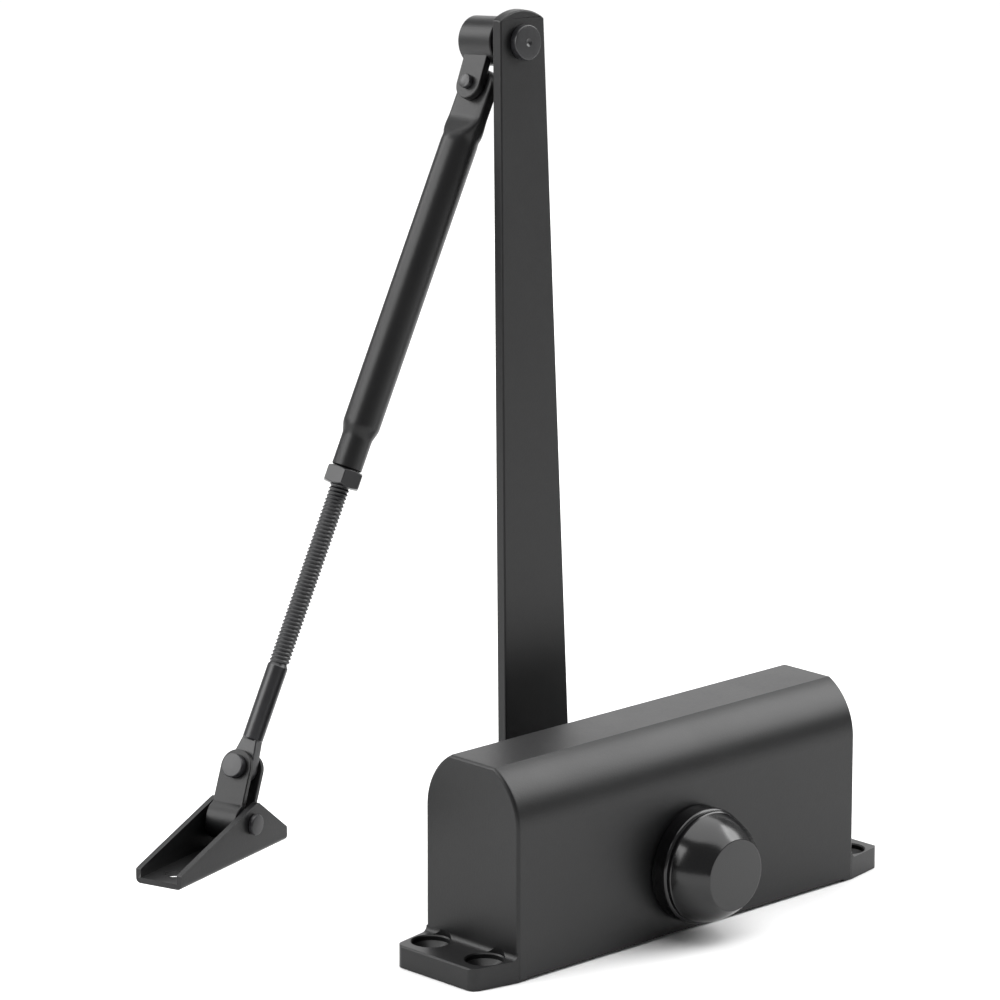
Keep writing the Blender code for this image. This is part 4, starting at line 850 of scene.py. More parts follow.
    def end_plug(self) -> bmesh.types.BMesh:
        """The threaded end cap with its sealing groove and two key holes."""
        face = self.half - GAP
        shoulder = face - self.plug_head
        nose = shoulder - 0.008
        nose_radius = self.bore_radius - GAP
        groove = nose_radius - 0.0023
        profile = [
            (0, face - 0.0004),
            (0.0050, face - 0.0004),
            (0.0054, face),
            (self.plug_radius - 0.0010, face),
            (self.plug_radius, face - 0.0010),
            (self.plug_radius, shoulder + 0.0004),
            (self.plug_radius - 0.0004, shoulder),
            (nose_radius, shoulder),
            (nose_radius, nose + 0.0053),
            (groove, nose + 0.0053),
            (groove, nose + 0.0027),
            (nose_radius, nose + 0.0027),
            (nose_radius, nose + 0.0008),
            (nose_radius - 0.0008, nose),
            (0, nose),
        ]
        keys = []
        for sign in (-1, 1):
            key = self.seat(self.key_radius, face - 0.005, face, 0.0002)
            keys.append(placed(key, shift(y=sign * self.key_across)))
        return combined(turned(profile, 96), keys, Cut.REMOVE)

    def gland(self) -> bmesh.types.BMesh:
        """A bearing gland: a ring with a raised, slotted rim."""
        floor = self.side - self.gland_depth
        rim = self.side + self.gland_rim_height
        pocket = self.journal_radius + GAP + 0.0017 + GAP
        seal_top = floor + GAP + 0.0048 + 0.0018 + 3 * GAP
        bore = self.journal_radius + GAP
        profile = [
            (pocket, seal_top),
            (bore, seal_top),
            (bore, rim - 0.0004),
            (bore + 0.0004, rim),
            (self.gland_rim_radius - 0.0004, rim),
            (self.gland_rim_radius, rim - 0.0004),
            (self.gland_rim_radius, self.side),
            (self.gland_radius - 0.0002, self.side),
            (self.gland_radius, self.side - 0.0002),
            (self.gland_radius, floor),
            (pocket, floor),
        ]
        slots = []
        for turn in (0, 90):
            slot = block((-0.0015, -0.02, rim - 0.0012), (0.0015, 0.02, rim + OVERCUT))
            slots.append(placed(slot, Matrix.Rotation(math.radians(turn), 4, "Z")))
        return combined(turned(profile, 72, closed=True), slots, Cut.REMOVE)

    def valve(self) -> bmesh.types.BMesh:
        """A speed valve: a slotted needle with a sealing groove."""
        face = self.half - 0.0008
        groove = face - 0.006
        tip = face - self.valve_length
        neck = self.valve_radius - 0.0015
        profile = [
            (0, face),
            (self.valve_radius - 0.0004, face),
            (self.valve_radius, face - 0.0004),
            (self.valve_radius, groove),
            (neck, groove),
            (neck, groove - 0.0018),
            (self.valve_radius, groove - 0.0018),
            (self.valve_radius, tip + 0.006),
            (0.0006, tip),
            (0, tip),
        ]
        slot = block((-0.00045, -0.004, face - 0.0012), (0.00045, 0.004, face + OVERCUT))
        return combined(turned(profile, 48), [slot], Cut.REMOVE)

    def build(self, shop: Workshop, frames: Frames) -> None:
        """Make the casting and what is fixed in it.

        Args:
            shop: Where pieces are made.
            frames: The sub-assemblies' frames.
        """
        casting = self.casting(frames)
        shop.add("body_casting", casting, Matrix(), Slot.BLACK_COAT, "body", "housing", crease=20.0)
        along = shift(z=self.bore_height) @ TO_X
        shop.add("end_cap", self.end_plug(), along, Slot.STEEL, "body", "end_plug")
        for name, way in (("rear", TO_Y), ("front", TO_MINUS_Y)):
            place = frames.pinion @ way
            shop.add(f"bearing_{name}", self.gland(), place, Slot.BLACK_STEEL, "body", f"gland_{name}")
        for name, sign in (("sweep", 1), ("latch", -1)):
            place = shift(y=sign * self.valve_across, z=self.valve_height) @ TO_X
            body = f"{name}_valve"
            shop.add(f"{name}_needle", self.valve(), place, Slot.STEEL, body, body)
            shop.dress(f"{name}_valve_seal", Slot.SEAL_RUBBER)
        for end in ("front", "rear"):
            shop.dress(f"bush_{end}", Slot.BRONZE)
            shop.dress(f"shaft_seal_{end}", Slot.SEAL_RUBBER)
        shop.dress("end_plug_seal", Slot.SEAL_RUBBER)
        shop.dress("main_spring", Slot.SPRING_STEEL)
        shop.dress("pinion", Slot.STEEL)
        for node in ("piston", "check_ball", "check_retainer"):
            shop.dress(node, Slot.STEEL)


@dataclass
class PinionCover:
    """The conical cap over the pinion's unused end."""

    radius: float = 0.0184
    ring_height: float = 0.0060
    step_radius: float = 0.0174
    step_height: float = 0.0075
    height: float = 0.0185
    face_radius: float = 0.0111
    wall: float = 0.0014
    body_side: float = 0.0205

    def shape(self) -> bmesh.types.BMesh:
        """The cap's wall, turned from one section."""
        outside = [
            (self.radius - 0.0003, 0.0),
            (self.radius, 0.0003),
            (self.radius, self.ring_height - 0.0009),
        ]
        outside += arc((self.radius - 0.0009, self.ring_height - 0.0009), 0.0009, 15, 75, 3)
        outside += [
            (self.step_radius + 0.0003, self.step_height - 0.0003),
            (self.step_radius, self.step_height),
        ]
        steps = 14
        end_radius = self.face_radius + 0.0007
        end_height = self.height - 0.0006
        for step in range(1, steps + 1):
            share = step / steps
            bulge = 0.0009 * math.sin(math.pi * share)
            radius = self.step_radius + (end_radius - self.step_radius) * share + bulge
            outside.append((radius, self.step_height + (end_height - self.step_height) * share))
        outside += [(self.face_radius + 0.00035, self.height - 0.00015), (self.face_radius, self.height)]
        outside.append((0, self.height))
        rim_bore = 0.0112 + GAP
        inside = [
            (0, self.height - self.wall),
            (self.face_radius - self.wall, self.height - self.wall),
            (rim_bore, 0.007),
            (rim_bore, 0.0),
        ]
        return turned(inside + outside, 128)

    def build(self, shop: Workshop, frames: Frames) -> None:
        """Make the cap.

        Args:
            shop: Where pieces are made.
            frames: The sub-assemblies' frames.
        """
        place = shift(y=-self.body_side - GAP) @ frames.pinion @ TO_MINUS_Y
        shop.add("cap", self.shape(), place, Slot.BLACK_PLASTIC, "body", "pinion_cover", crease=24.0)


@dataclass
class MainArm:
    """The forged bar from the pinion to the elbow, and its screw."""

    lean: float = math.radians(4.93)
    length: float = 0.24666
    thickness: float = 0.0038
    hub_face: float = 0.033
    plane_at_pinion: float = 0.04802
    hub_width: float = 0.0281
    tip_width: float = 0.0192
    tip_rise: float = 0.0101
    tip_shoulder: float = 0.0071
    hub_radius: float = 0.0145
    joggle_start: float = 0.0125
    joggle_end: float = 0.0245
    square: float = 0.0094
    journal_radius: float = 0.006
    pin_radius: float = 0.004

    def side_outline(self) -> list[Point]:
        """The bar seen edge on: (out from the body, up the arm), its bends rounded."""
        slope = math.tan(self.lean)
        depth = self.thickness / math.cos(self.lean)
        top = self.length * math.cos(self.lean) + self.tip_rise + 0.003
        bottom = -self.hub_radius - 0.002
        slack = self.thickness * 0.5
        plane = self.plane_at_pinion
        corners = [
            (self.hub_face, bottom),
            (self.hub_face, self.joggle_start),
            (plane + self.joggle_end * slope, self.joggle_end),
            (plane + top * slope, top),
            (plane + depth + top * slope, top),
            (plane + depth + (self.joggle_end - slack) * slope, self.joggle_end - slack),
            (self.hub_face + self.thickness, self.joggle_start - slack),
            (self.hub_face + self.thickness, bottom),
        ]
        return rounded_outline(corners, [0, 0.003, 0.0012, 0, 0, 0.0040, 0.0012, 0], 8)

    def face_outline(self) -> list[Point]:
        """The bar seen square on: (across, up), tapered, with round ends."""
        squash = math.cos(self.lean)
        length = self.length * squash
        slope = (self.hub_width - self.tip_width) / 2 / length
        shoulder = length + self.tip_shoulder * squash
        half_tip = self.hub_width / 2 - slope * shoulder
        rise = (self.tip_rise - self.tip_shoulder) * squash
        radius = (half_tip**2 + rise**2) / (2 * rise)
        spread = math.degrees(math.asin(half_tip / radius))
        tip = arc((0, shoulder + rise - radius), radius, 90 - spread, 90 + spread, 24)
        hub_side = math.degrees(math.asin(slope))
        return tip + arc((0, 0), self.hub_radius, 180 - hub_side, 360 + hub_side, 48)

    def bar(self) -> bmesh.types.BMesh:
        """The bar in the arm's frame, before its holes."""
        side = placed(plate(self.side_outline(), -0.025, 0.025), SIDE_ON)
        face = placed(plate(self.face_outline(), -0.08, 0.04), FACE_ON)
        return combined(side, [face], Cut.KEEP)

    def shape(self, frames: Frames) -> bmesh.types.BMesh:
        """The finished bar in the model's frame.

        Args:
            frames: The sub-assemblies' frames.

        Returns:
            The bar with its square and round holes.
        """
        bar = placed(self.bar(), frames.arm)
        half = self.square / 2 + GAP
        square = block((-half, self.hub_face - 0.01, -half), (half, self.hub_face + 0.01, half))
        limit = placed(round_bar(self.journal_radius + GAP, 0, 0.06), TO_Y)
        square = placed(combined(square, [limit], Cut.KEEP), frames.arm)
        hole = placed(round_bar(self.pin_radius + GAP, -0.004, self.thickness + 0.004), frames.elbow @ TO_Y)
        return combined(bar, [square, hole], Cut.REMOVE)

    def screw(self) -> bmesh.types.BMesh:
        """The socket-head screw that holds the arm on the pinion."""
        base = self.hub_face + self.thickness + 0.0016 + 2 * GAP
        top = base + 0.0042
        end = self.hub_face + self.thickness - GAP - 0.012
        profile = [
            (0, top),
            (0.0046, top),
            (0.0053, top - 0.0003),
            (0.0058, top - 0.0010),
            (0.0058, base + 0.0002),
            (0.0056, base),
            (0.0028, base),
            (0.0028, end + 0.0006),
            (0.0022, end),
            (0, end),
        ]
        socket = round_bar(0.005 / math.sqrt(3), top - 0.0025, top + OVERCUT, 6)
        return combined(turned(profile, 64), [socket], Cut.REMOVE)

    def washer(self) -> bmesh.types.BMesh:
        """The flat washer under that screw."""
        base = self.hub_face + self.thickness + GAP
        top = base + 0.0016
        inner = 0.0028 + GAP
        profile = [
            (inner, top),
            (0.0083, top),
            (0.0085, top - 0.0002),
            (0.0085, base + 0.0002),
            (0.0083, base),
            (inner, base),
        ]
        return turned(profile, 64, closed=True)

    def build(self, shop: Workshop, frames: Frames) -> None:
        """Make the arm and its fastening.

        Args:
            shop: Where pieces are made.
            frames: The sub-assemblies' frames.
        """
        bar = self.shape(frames)
        shop.add("arm_bar", bar, Matrix(), Slot.BLACK_COAT, "drive", "main_arm", bevel=0.0005)
        place = frames.arm @ TO_Y
        shop.add("arm_fixing_screw", self.screw(), place, Slot.BLACK_STEEL, "drive", "arm_screw")
        shop.add("arm_fixing_washer", self.washer(), place, Slot.BLACK_STEEL, "drive", "arm_washer")


@dataclass
class Elbow:
    """The pin, washer and knuckle at the arm's tip, and the rivet through its tongue."""

    arm_thickness: float = 0.0038
    pin_radius: float = 0.004
    head_radius: float = 0.0056
    head_height: float = 0.0024
    washer_radius: float = 0.0070
    washer_thickness: float = 0.0025
    tail_radius: float = 0.0050
    tail_height: float = 0.0010
    knuckle_radius: float = 0.0079
    knuckle_length: float = 0.0154
    chamfer: float = 0.0011
    tongue_width: float = 0.0105
    tongue_thickness: float = 0.0026
    tongue_face: float = 0.0048
    tongue_reach: float = 0.0153
    rivet_radius: float = 0.0018
    rivet_head: float = 0.0023
    rivet_head_height: float = 0.0015

    def pin(self) -> bmesh.types.BMesh:
        """The headed pin with a small centre dimple."""
        far = self.arm_thickness + self.washer_thickness + 3 * GAP + self.knuckle_length
        top = far + self.tail_height
        low = -GAP - self.head_height
        profile = [
            (0, top),
            (self.tail_radius - 0.0006, top),
            (self.tail_radius, top - 0.0005),
            (self.tail_radius, far),
            (self.pin_radius, far),
            (self.pin_radius, -GAP),
            (self.head_radius, -GAP),
            (self.head_radius, low + 0.0005),
            (self.head_radius - 0.0002, low + 0.00015),
            (self.head_radius - 0.0005, low),
            (0.0013, low),
            (0.0010, low + 0.0002),
            (0, low + 0.0006),
        ]
        return turned(profile, 72)

    def washer(self) -> bmesh.types.BMesh:
        """The spacing washer between arm and knuckle."""
        low = self.arm_thickness + GAP
        high = low + self.washer_thickness
        inner = self.pin_radius + GAP
        outer = self.washer_radius
        profile = [
            (inner, high),
            (outer - 0.0003, high),
            (outer, high - 0.0003),
            (outer, low + 0.0003),
            (outer - 0.0003, low),
            (inner, low),
        ]
        return turned(profile, 64, closed=True)

    def knuckle(self) -> bmesh.types.BMesh:
        """The barrel with its hanging tongue, bored for the pin and the rivet."""
        far = self.knuckle_length / 2
        profile = [
            (0, far),
            (self.knuckle_radius - self.chamfer, far),
            (self.knuckle_radius, far - self.chamfer),
            (self.knuckle_radius, -far + 0.0003),
            (self.knuckle_radius - 0.0003, -far),
            (0, -far),
        ]
        barrel = placed(turned(profile, 96), TO_Y)
        half = self.tongue_width / 2
        outline = [(half, 0), (-half, 0)] + arc((0, -self.tongue_reach), half, 180, 360, 32)
        tongue = soften(plate(outline, -self.tongue_thickness / 2, self.tongue_thickness / 2), 0.0004, 3)
        tongue = placed(tongue, shift(x=-self.tongue_face + self.tongue_thickness / 2) @ SIDE_ON)
        shape = combined(barrel, [tongue], Cut.JOIN)
        pin = placed(round_bar(self.pin_radius + GAP, -0.02, 0.02), TO_Y)
        rivet = placed(round_bar(self.rivet_radius + GAP, -0.02, 0, 32), shift(z=-self.tongue_reach) @ TO_X)
        return combined(shape, [pin, rivet], Cut.REMOVE)

    def rivet(self) -> bmesh.types.BMesh:
        """The rivet that carries the forearm, along Z here."""
        low = -self.tongue_face - GAP
        high = 0.0002 + 0.0021 + GAP
        return rivet_shape(self.rivet_radius, self.rivet_head, self.rivet_head_height, low, high)

    def build(self, shop: Workshop, frames: Frames) -> None:
        """Make the elbow's pieces.

        Args:
            shop: Where pieces are made.
            frames: The sub-assemblies' frames.
        """
        place = frames.elbow @ TO_Y
        shop.add("hinge_pin", self.pin(), place, Slot.BLACK_STEEL, "drive", "elbow_pin")
        shop.add("hinge_washer", self.washer(), place, Slot.BLACK_STEEL, "drive", "elbow_washer")
        shop.add("knuckle_block", self.knuckle(), frames.knuckle, Slot.BLACK_COAT, "elbow", "knuckle")
        place = frames.knuckle @ shift(z=-self.tongue_reach) @ TO_X
        shop.add("tongue_rivet", self.rivet(), place, Slot.BLACK_STEEL, "elbow", "knuckle_rivet")


def rivet_shape(shank: float, head: float, height: float, low: float, high: float) -> bmesh.types.BMesh:
    """A two-headed rivet along Z.

    Args:
        shank: Its shank's radius.
        head: Its heads' radius.
        height: Their height.
        low: Where the shank starts.
        high: Where it ends.

    Returns:
        The rivet, its heads flat with a rounded rim.
    """
    edge = height * 0.2
    half = [
        (0, high + height),
        (head - edge, high + height),
        (head - edge * 0.3, high + height - edge * 0.3),
        (head, high + height - edge),
        (head, high),
        (shank, high),
    ]
    mirrored = [(radius, low + high - level) for radius, level in reversed(half)]
    return turned(half + mirrored, 56)


@dataclass
class Forearm:
    """The tube with its flattened end, the lock nut, and the threaded rod."""

    tube_radius: float = 0.00595
    tube_wall: float = 0.0014
    flat_thickness: float = 0.0042
    flat_width: float = 0.0148
    eye_radius: float = 0.0075
    eye_drop: float = 0.0014
    flat_end: float = 0.0095
    round_start: float = 0.0195
    neck_radius: float = 0.0049
    neck_start: float = 0.0096
    neck_end: float = 0.0146
    nut_height: float = 0.0056
    nut_flats: float = 0.0112
    nut_from_eye: float = 0.0936
    rod_radius: float = 0.0033
    rod_inside: float = 0.045
    rod_eye_radius: float = 0.0045
    rod_eye_thickness: float = 0.0040
    rod_neck: float = 0.0052
    shank_start: float = 0.0093
    thread_start: float = 0.0342
    thread_pitch: float = 0.00126
    thread_depth: float = 0.00045
    top_rivet: float = 0.0018
    yoke_rivet: float = 0.0024

    def stations(self, end: float) -> list[tuple[float, float, float, float]]:
        """(distance down, half thickness, half width, squareness) along the tube.

        Args:
            end: Where the tube ends, measured down from its top rivet.

        Returns:
            The stations from the flat end to the swaged one.
        """
        thick = self.flat_thickness / 2
        wide = self.flat_width / 2
        rows = [(-self.eye_radius - 0.001, thick, wide, 6.0), (self.flat_end, thick, wide, 6.0)]
        for step in range(1, 13):
            level = step / 12
            share = level * level * (3 - 2 * level)
            down = self.flat_end + (self.round_start - self.flat_end) * level
            squareness = 6.0 + (2.0 - 6.0) * min(1.0, share * 1.15)
            rows.append(
                (
                    down,
                    thick + (self.tube_radius - thick) * share,
                    wide + (self.tube_radius - wide) * share,
                    squareness,
                )
            )
        for step in range(9):
            level = step / 8
            share = level * level * (3 - 2 * level)
            down = end - self.neck_end + (self.neck_end - self.neck_start) * level
            radius = self.tube_radius + (self.neck_radius - self.tube_radius) * share
            rows.append((down, radius, radius, 2.0))
        rows.append((end - 0.0003, self.neck_radius, self.neck_radius, 2.0))
        rows.append((end, self.neck_radius - 0.0003, self.neck_radius - 0.0003, 2.0))
        return rows

    def tube(self, length: float) -> bmesh.types.BMesh:
        """The forearm tube, hanging down from its top rivet.

        Args:
            length: Distance between the top rivet and the rod's eye.

        Returns:
            The tube with its eye, rivet hole and threaded bore.
        """
        end = length - self.nut_from_eye - self.nut_height - GAP
        rows = self.stations(end)
        bm = bmesh.new()
        bmesh.ops.create_circle(bm, cap_ends=False, segments=64, radius=1.0)
        edges = list(bm.edges)
        for _ in rows[1:]:
            grown = bmesh.ops.extrude_edge_only(bm, edges=edges)["geom"]
            moved = [item for item in grown if isinstance(item, bmesh.types.BMVert)]
            edges = [item for item in grown if isinstance(item, bmesh.types.BMEdge)]
            bmesh.ops.translate(bm, verts=moved, vec=(0, 0, 1))
        bmesh.ops.holes_fill(bm, edges=bm.edges)
        for vert in bm.verts:
            down, thick, wide, squareness = rows[round(vert.co.z)]
            c, s = vert.co.x, vert.co.y
            power = 2 / squareness
            vert.co.x = thick * math.copysign(abs(c) ** power, c)
            vert.co.y = wide * math.copysign(abs(s) ** power, s)
            vert.co.z = -down
        drop = -self.eye_drop
        reach = self.flat_width
        outline = [(reach, -length), (reach, drop)] + arc((0, drop), self.eye_radius, 0, 180, 40)
        outline += [(-reach, drop), (-reach, -length)]
        blank = placed(plate(outline, -0.015, 0.015), SIDE_ON)
        shape = combined(tidied(bm), [blank], Cut.KEEP)
        hole = placed(round_bar(self.top_rivet + GAP, -0.01, 0.01, 32), TO_X)
        bore = round_bar(self.rod_radius + GAP, -end - OVERCUT, -end + 0.020, 48)
        low = -end + self.neck_end + 0.001
        cavity = round_bar(self.tube_radius - self.tube_wall, low, -self.round_start - 0.004, 48)
        return combined(shape, [hole, bore, cavity], Cut.REMOVE)

    def nut(self) -> bmesh.types.BMesh:
        """The hexagon lock nut, chamfered on both faces."""
        low = self.nut_from_eye
        high = low + self.nut_height
        corner = self.nut_flats / math.sqrt(3)
        flat = self.nut_flats / 2
        slope = (corner - flat) * math.tan(math.radians(30)) * 1.5
        envelope = [
            (0, high),
            (flat - 0.0003, high),
            (corner + 0.0002, high - slope),
            (corner + 0.0002, low + slope),
            (flat - 0.0003, low),
            (0, low),
        ]
        blank = round_bar(corner, low, high, 6)
        shape = combined(blank, [turned(envelope, 96)], Cut.KEEP)
        inner = self.rod_radius + GAP
        bore = [
            (0, high + OVERCUT),
            (inner + 0.0006 + OVERCUT, high + OVERCUT),
            (inner, high - 0.0006),
            (inner, low + 0.0006),
            (inner + 0.0006 + OVERCUT, low - OVERCUT),
            (0, low - OVERCUT),
        ]
        return combined(shape, [turned(bore, 48)], Cut.REMOVE)

    def rod(self) -> bmesh.types.BMesh:
        """The plain shank with its flattened, drilled eye."""
        radius = self.rod_radius
        profile = [
            (0, self.thread_start + 0.0010),
            (radius - 0.0008, self.thread_start + 0.0010),
            (radius - 0.0003, self.thread_start),
            (radius, self.thread_start - 0.0004),
            (radius, self.shank_start + 0.0006),
            (radius - 0.0006, self.shank_start),
            (0, self.shank_start),
        ]
        half = self.rod_neck / 2
        top = self.shank_start + 0.001
        reach = math.hypot(top, half)
        tangent = math.degrees(math.atan2(top, half) - math.acos(self.rod_eye_radius / reach))
        outline = arc((0, 0), self.rod_eye_radius, 180 - tangent, 360 + tangent, 40)
        outline += [(half, top), (-half, top)]
        side = self.rod_eye_thickness / 2
        eye = placed(soften(plate(outline, -side, side), 0.0004, 2), SIDE_ON)
        shape = combined(turned(profile, 48), [eye], Cut.JOIN)
        hole = placed(round_bar(self.yoke_rivet + GAP, -0.01, 0.01, 32), TO_X)
        return combined(shape, [hole], Cut.REMOVE)

    def thread(self) -> bmesh.types.BMesh:
        """The rod's thread: a V section spun up a helix and closed at both ends."""
        pitch = self.thread_pitch
        high = self.nut_from_eye + self.nut_height + GAP + self.rod_inside
        turns = int((high - self.thread_start) / pitch) - 1
        crest = self.rod_radius
        root = crest - self.thread_depth
        section = [(root, 0.0), (root, 0.12), (crest, 0.46), (crest, 0.58), (root, 0.92)]
        bm = bmesh.new()
        chain = []
        for turn in range(turns):
            for radius, share in section if turn == 0 else section[1:]:
                chain.append(bm.verts.new((radius, 0, self.thread_start + (turn + share) * pitch)))
        chain.append(bm.verts.new((root, 0, self.thread_start + turns * pitch)))
        edges = [bm.edges.new(pair) for pair in zip(chain, chain[1:])]
        steps = 28
        bmesh.ops.spin(
            bm,
            geom=chain + edges,
            cent=(0, 0, 0),
            axis=(0, 0, 1),
            dvec=(0, 0, pitch / steps),
            angle=math.tau,
            steps=steps,
        )
        bmesh.ops.remove_doubles(bm, verts=bm.verts, dist=0.00001)
        open_edges = [edge for edge in bm.edges if edge.is_boundary]
        bmesh.ops.holes_fill(bm, edges=open_edges)
        return bm

    def build(self, shop: Workshop, frames: Frames) -> None:
        """Make the forearm's pieces.

        Args:
            shop: Where pieces are made.
            frames: The sub-assemblies' frames.
        """
        length = (frames.forearm.translation - frames.rod.translation).length
        shop.add(
            "tube", self.tube(length), frames.forearm, Slot.BLACK_COAT, "forearm", "forearm_tube", crease=35.0
        )
        shop.add("hex_nut", self.nut(), frames.rod, Slot.BLACK_STEEL, "lock_nut", "lock_nut", bevel=0.0002)
        shop.add("rod_shank", self.rod(), frames.rod, Slot.BLACK_STEEL, "rod", "adjusting_rod")
        shop.add("rod_thread", self.thread(), frames.rod, Slot.BLACK_STEEL, "rod", crease=50.0)


@dataclass
class YokeAndBracket:
    """The rolled strip on the bracket pin, and the pressed frame bracket."""

    width: float = 0.0110
    thickness: float = 0.0019
    rise: float = 0.0165
    rivet_radius: float = 0.0024
    rivet_head: float = 0.0038
    rivet_head_height: float = 0.0022
    rod_eye_thickness: float = 0.0040
    bracket_length: float = 0.060
    bracket_width: float = 0.0168
    bracket_thickness: float = 0.0018
    bend: float = 0.0016
    front_height: float = 0.0056
    front_flat: float = 0.0032
    peak_height: float = 0.0165
    peak_at: float = 0.0435
    rear_height: float = 0.0045
    hole_radius: float = 0.0031
    hole_front: float = 0.0085
    hole_rear: float = 0.0540
    pin_along: float = 0.0407
    pin_height: float = 0.0104
    pin_radius: float = 0.0042
    pin_end_radius: float = 0.0022
    pin_head: float = 0.0033
    pin_head_height: float = 0.0014

    def yoke(self) -> bmesh.types.BMesh:
        """The strip rolled round the pin and pinched into two ears."""
        roll_inner = self.pin_radius + GAP
        roll_outer = roll_inner + self.thickness
        ear_inner = self.rod_eye_thickness / 2 + GAP
        ear_outer = ear_inner + self.thickness
        half = self.width / 2
        top = self.rise + half + 0.001
        outer_turn = math.degrees(math.acos(ear_outer / roll_outer))
        inner_turn = math.degrees(math.acos(ear_inner / roll_inner))
        outer = arc((0, 0), roll_outer, 180 - outer_turn, 360 + outer_turn, 48)
        inner = arc((0, 0), roll_inner, 360 + inner_turn, 180 - inner_turn, 48)
        outline = [(-ear_outer, top)] + outer + [(ear_outer, top), (ear_inner, top)]
        outline += inner + [(-ear_inner, top)]
        strip = placed(plate(outline, -half, half), FACE_ON)
        ear = [(half + 0.001, -0.02), (half + 0.001, 0.007), (half, 0.007), (half, self.rise)]
        ear += arc((0, self.rise), half, 0, 180, 32)[1:]
        ear += [(-half, 0.007), (-half - 0.001, 0.007), (-half - 0.001, -0.02)]
        shape = combined(strip, [placed(plate(ear, -0.015, 0.015), SIDE_ON)], Cut.KEEP)
        hole = placed(round_bar(self.rivet_radius + GAP, -0.02, 0.02, 40), shift(z=self.rise) @ TO_X)
        return combined(shape, [hole], Cut.REMOVE)

    def bracket(self) -> bmesh.types.BMesh:
        """The pressed channel: a base with two triangular sides."""
        thick = self.bracket_thickness
        width = self.bracket_width
        bend = self.bend
        floor = arc((bend, bend), bend, 180, 270, 8) + arc((width - bend, bend), bend, 270, 360, 8)
        inside = [(width - thick, 0.03), (width - thick, thick), (thick, thick), (thick, 0.03)]
        section = floor + [(width, 0.03)] + inside + [(0, 0.03)]
        channel = placed(plate(section, 0, self.bracket_length), SIDE_ON)
        corners = [
            (0, -0.001),
            (self.bracket_length, -0.001),
            (self.bracket_length, self.rear_height),
            (self.peak_at, self.peak_height + 0.0004),
            (self.front_flat, self.front_height),
            (0, self.front_height - 0.001),
        ]
        side = rounded_outline(corners, [0, 0, 0.0010, 0.0025, 0.002, 0.0006], 8)
        side_shape = placed(plate(side, -0.03, 0.03), shift(y=width / 2) @ FACE_ON)
        shape = combined(channel, [side_shape], Cut.KEEP)
        pin_line = shift(self.pin_along, 0, self.pin_height) @ TO_Y
        cuts = [placed(round_bar(self.pin_end_radius + GAP, -0.005, width + 0.005, 40), pin_line)]
        for along in (self.hole_front, self.hole_rear):
            cuts.append(placed(round_bar(self.hole_radius, -0.003, 0.004, 40), shift(along, width / 2)))
        return combined(shape, cuts, Cut.REMOVE)

    def pin(self) -> bmesh.types.BMesh:
        """The shouldered pin riveted through both sides, along Z here."""
        width = self.bracket_width
        top = width + GAP + self.pin_head_height
        edge = self.pin_head_height * 0.25
        shoulder = width - self.bracket_thickness - GAP
        half = [
            (0, top),
            (self.pin_head - edge, top),
            (self.pin_head - edge * 0.3, top - edge * 0.3),
            (self.pin_head, top - edge),
            (self.pin_head, width + GAP),
            (self.pin_end_radius, width + GAP),
            (self.pin_end_radius, shoulder),
            (self.pin_radius, shoulder),
        ]
        mirrored = [(radius, width - level) for radius, level in reversed(half)]
        return turned(half + mirrored, 64)

    def build(self, shop: Workshop, frames: Frames) -> None:
        """Make the yoke, its rivet, the bracket and its pin.

        Args:
            shop: Where pieces are made.
            frames: The sub-assemblies' frames.
        """
        shop.add("yoke_strip", self.yoke(), frames.yoke, Slot.BLACK_COAT, "yoke", "yoke", bevel=0.0003)
        reach = self.rod_eye_thickness / 2 + 2 * GAP + self.thickness
        rivet = rivet_shape(self.rivet_radius, self.rivet_head, self.rivet_head_height, -reach, reach)
        place = frames.yoke @ shift(z=self.rise) @ TO_X
        shop.add("eye_rivet", rivet, place, Slot.BLACK_STEEL, "yoke", "yoke_rivet")
        pressing = self.bracket()
        place = frames.bracket
        shop.add("bracket_pressing", pressing, place, Slot.BLACK_COAT, "bracket", "bracket", bevel=0.0003)
        place = frames.bracket @ shift(self.pin_along, 0, self.pin_height) @ TO_Y
        shop.add("shoulder_pin", self.pin(), place, Slot.BLACK_STEEL, "bracket", "bracket_pin")


# ---------------------------------------------------------------- stage
@dataclass(frozen=True)
class SoftBox:
    """A soft square light aimed at a point."""

    name: str
    place: tuple[float, float, float]
    aim: tuple[float, float, float]
    size: float
    power: float

    def build(self) -> None:
        """Add the light."""
        light = bpy.data.lights.new(self.name, "AREA")
        light.shape = "SQUARE"
        light.size = self.size
        light.energy = self.power
        item = bpy.data.objects.new(self.name, light)
        bpy.context.scene.collection.objects.link(item)
        item.location = self.place
        item.visible_camera = False
        way = Vector(self.aim) - Vector(self.place)
        item.rotation_euler = way.to_track_quat("-Z", "Y").to_euler()


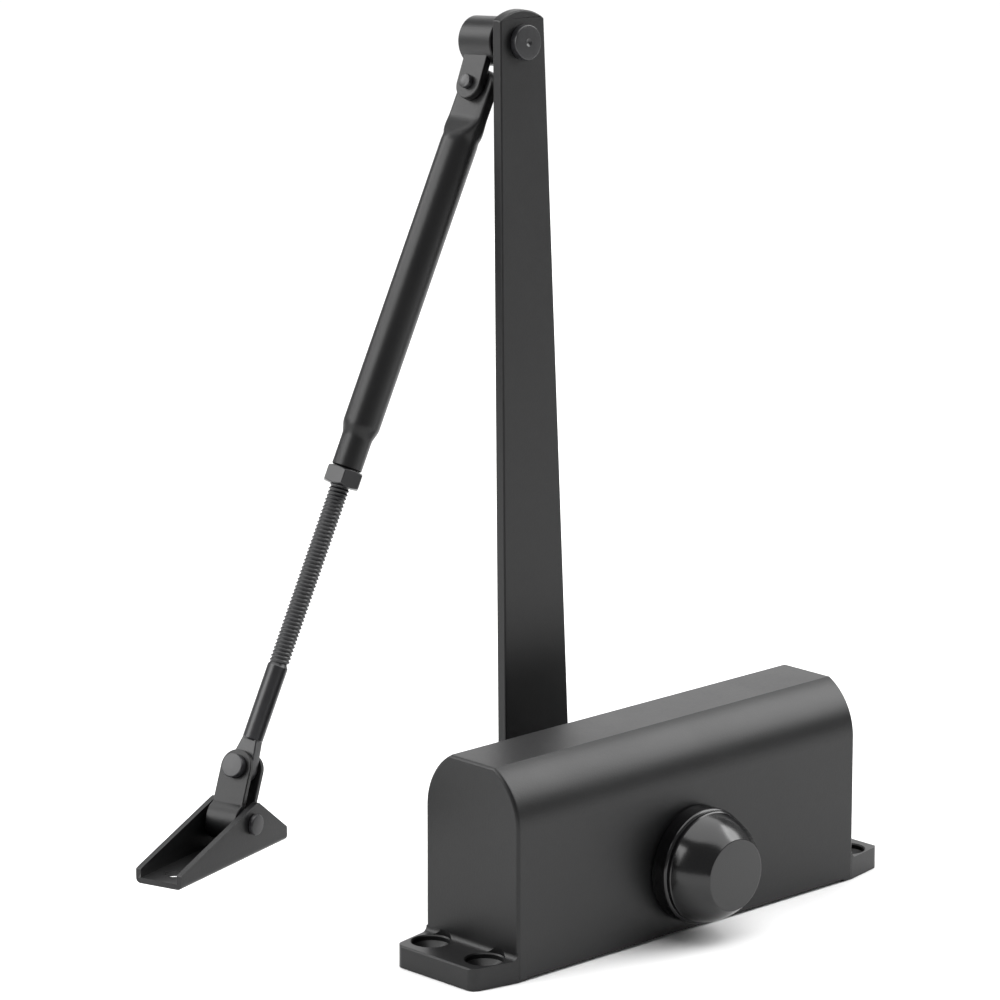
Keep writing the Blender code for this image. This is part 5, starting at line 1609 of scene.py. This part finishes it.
@dataclass(frozen=True)
class Studio:
    """A plain pale floor, soft light all round and the camera."""

    azimuth: float = math.radians(-43.660)
    elevation: float = math.radians(13.947)
    distance: float = 1.65399
    target: tuple[float, float, float] = (-0.06244, 0.0, 0.14505)
    lens: float = 198.16
    sky: float = 0.30
    overhead: float = 2.7
    floor_level: float = -0.0002

    def camera(self) -> None:
        """Add the camera and make it the scene's."""
        data = bpy.data.cameras.new("camera")
        data.lens = self.lens
        data.sensor_width = 36.0
        item = bpy.data.objects.new("camera", data)
        bpy.context.scene.collection.objects.link(item)
        level = math.cos(self.elevation)
        outward = (math.sin(self.azimuth) * level, -math.cos(self.azimuth) * level)
        back = Vector((*outward, math.sin(self.elevation)))
        item.location = Vector(self.target) + back * self.distance
        item.rotation_euler = (-back).to_track_quat("-Z", "Y").to_euler()
        data.clip_start = 0.05
        data.clip_end = 50.0
        bpy.context.scene.camera = item

    def floor(self) -> None:
        """Add the floor."""
        bm = bmesh.new()
        bmesh.ops.create_grid(bm, x_segments=1, y_segments=1, size=8.0)
        bmesh.ops.translate(bm, verts=bm.verts, vec=(0, 0, self.floor_level))
        mesh = bpy.data.meshes.new("floor")
        bm.to_mesh(mesh)
        bm.free()
        material = bpy.data.materials.new("pale_floor")
        material.use_nodes = True
        shader = material.node_tree.nodes["Principled BSDF"]
        shader.inputs["Base Color"].default_value = (0.86, 0.86, 0.86, 1.0)
        shader.inputs["Roughness"].default_value = 0.9
        mesh.materials.append(material)
        item = bpy.data.objects.new("floor", mesh)
        bpy.context.scene.collection.objects.link(item)

    def world(self) -> None:
        """Light the scene evenly from all round."""
        world = bpy.data.worlds.new("studio")
        world.use_nodes = True
        background = world.node_tree.nodes["Background"]
        background.inputs["Color"].default_value = (1.0, 1.0, 1.0, 1.0)
        background.inputs["Strength"].default_value = self.sky
        bpy.context.scene.world = world

    def overhead_light(self) -> None:
        """Light the floor evenly from above."""
        light = bpy.data.lights.new("overhead", "SUN")
        light.energy = self.overhead
        light.angle = math.radians(70)
        item = bpy.data.objects.new("overhead", light)
        bpy.context.scene.collection.objects.link(item)
        item.rotation_euler = (math.radians(-6), math.radians(8), 0)

    def build(self) -> None:
        """Set the stage, the lights and the camera."""
        self.floor()
        self.overhead_light()
        self.world()
        self.camera()
        bpy.context.scene.view_settings.view_transform = "Standard"
        centre = (-0.03, 0.0, 0.08)
        SoftBox("softbox_right", (0.85, -0.42, 0.78), centre, size=0.80, power=12.0).build()
        SoftBox("softbox_left", (-1.02, 0.45, 0.64), centre, size=0.80, power=10.0).build()
        SoftBox("softbox_back", (0.78, 0.82, 0.50), centre, size=0.80, power=2.2).build()
        SoftBox("softbox_rear_left", (-0.45, 0.95, 0.75), centre, size=0.60, power=5.0).build()


def main() -> None:
    """Build every sub-assembly, then the stage."""
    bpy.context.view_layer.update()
    shop = Workshop(Effects.build())
    frames = Frames.read(LinkageSizes())
    for part in (Body(), PinionCover(), MainArm(), Elbow(), Forearm(), YokeAndBracket()):
        part.build(shop, frames)
    Studio().build()


if __name__ == "__main__":
    main()
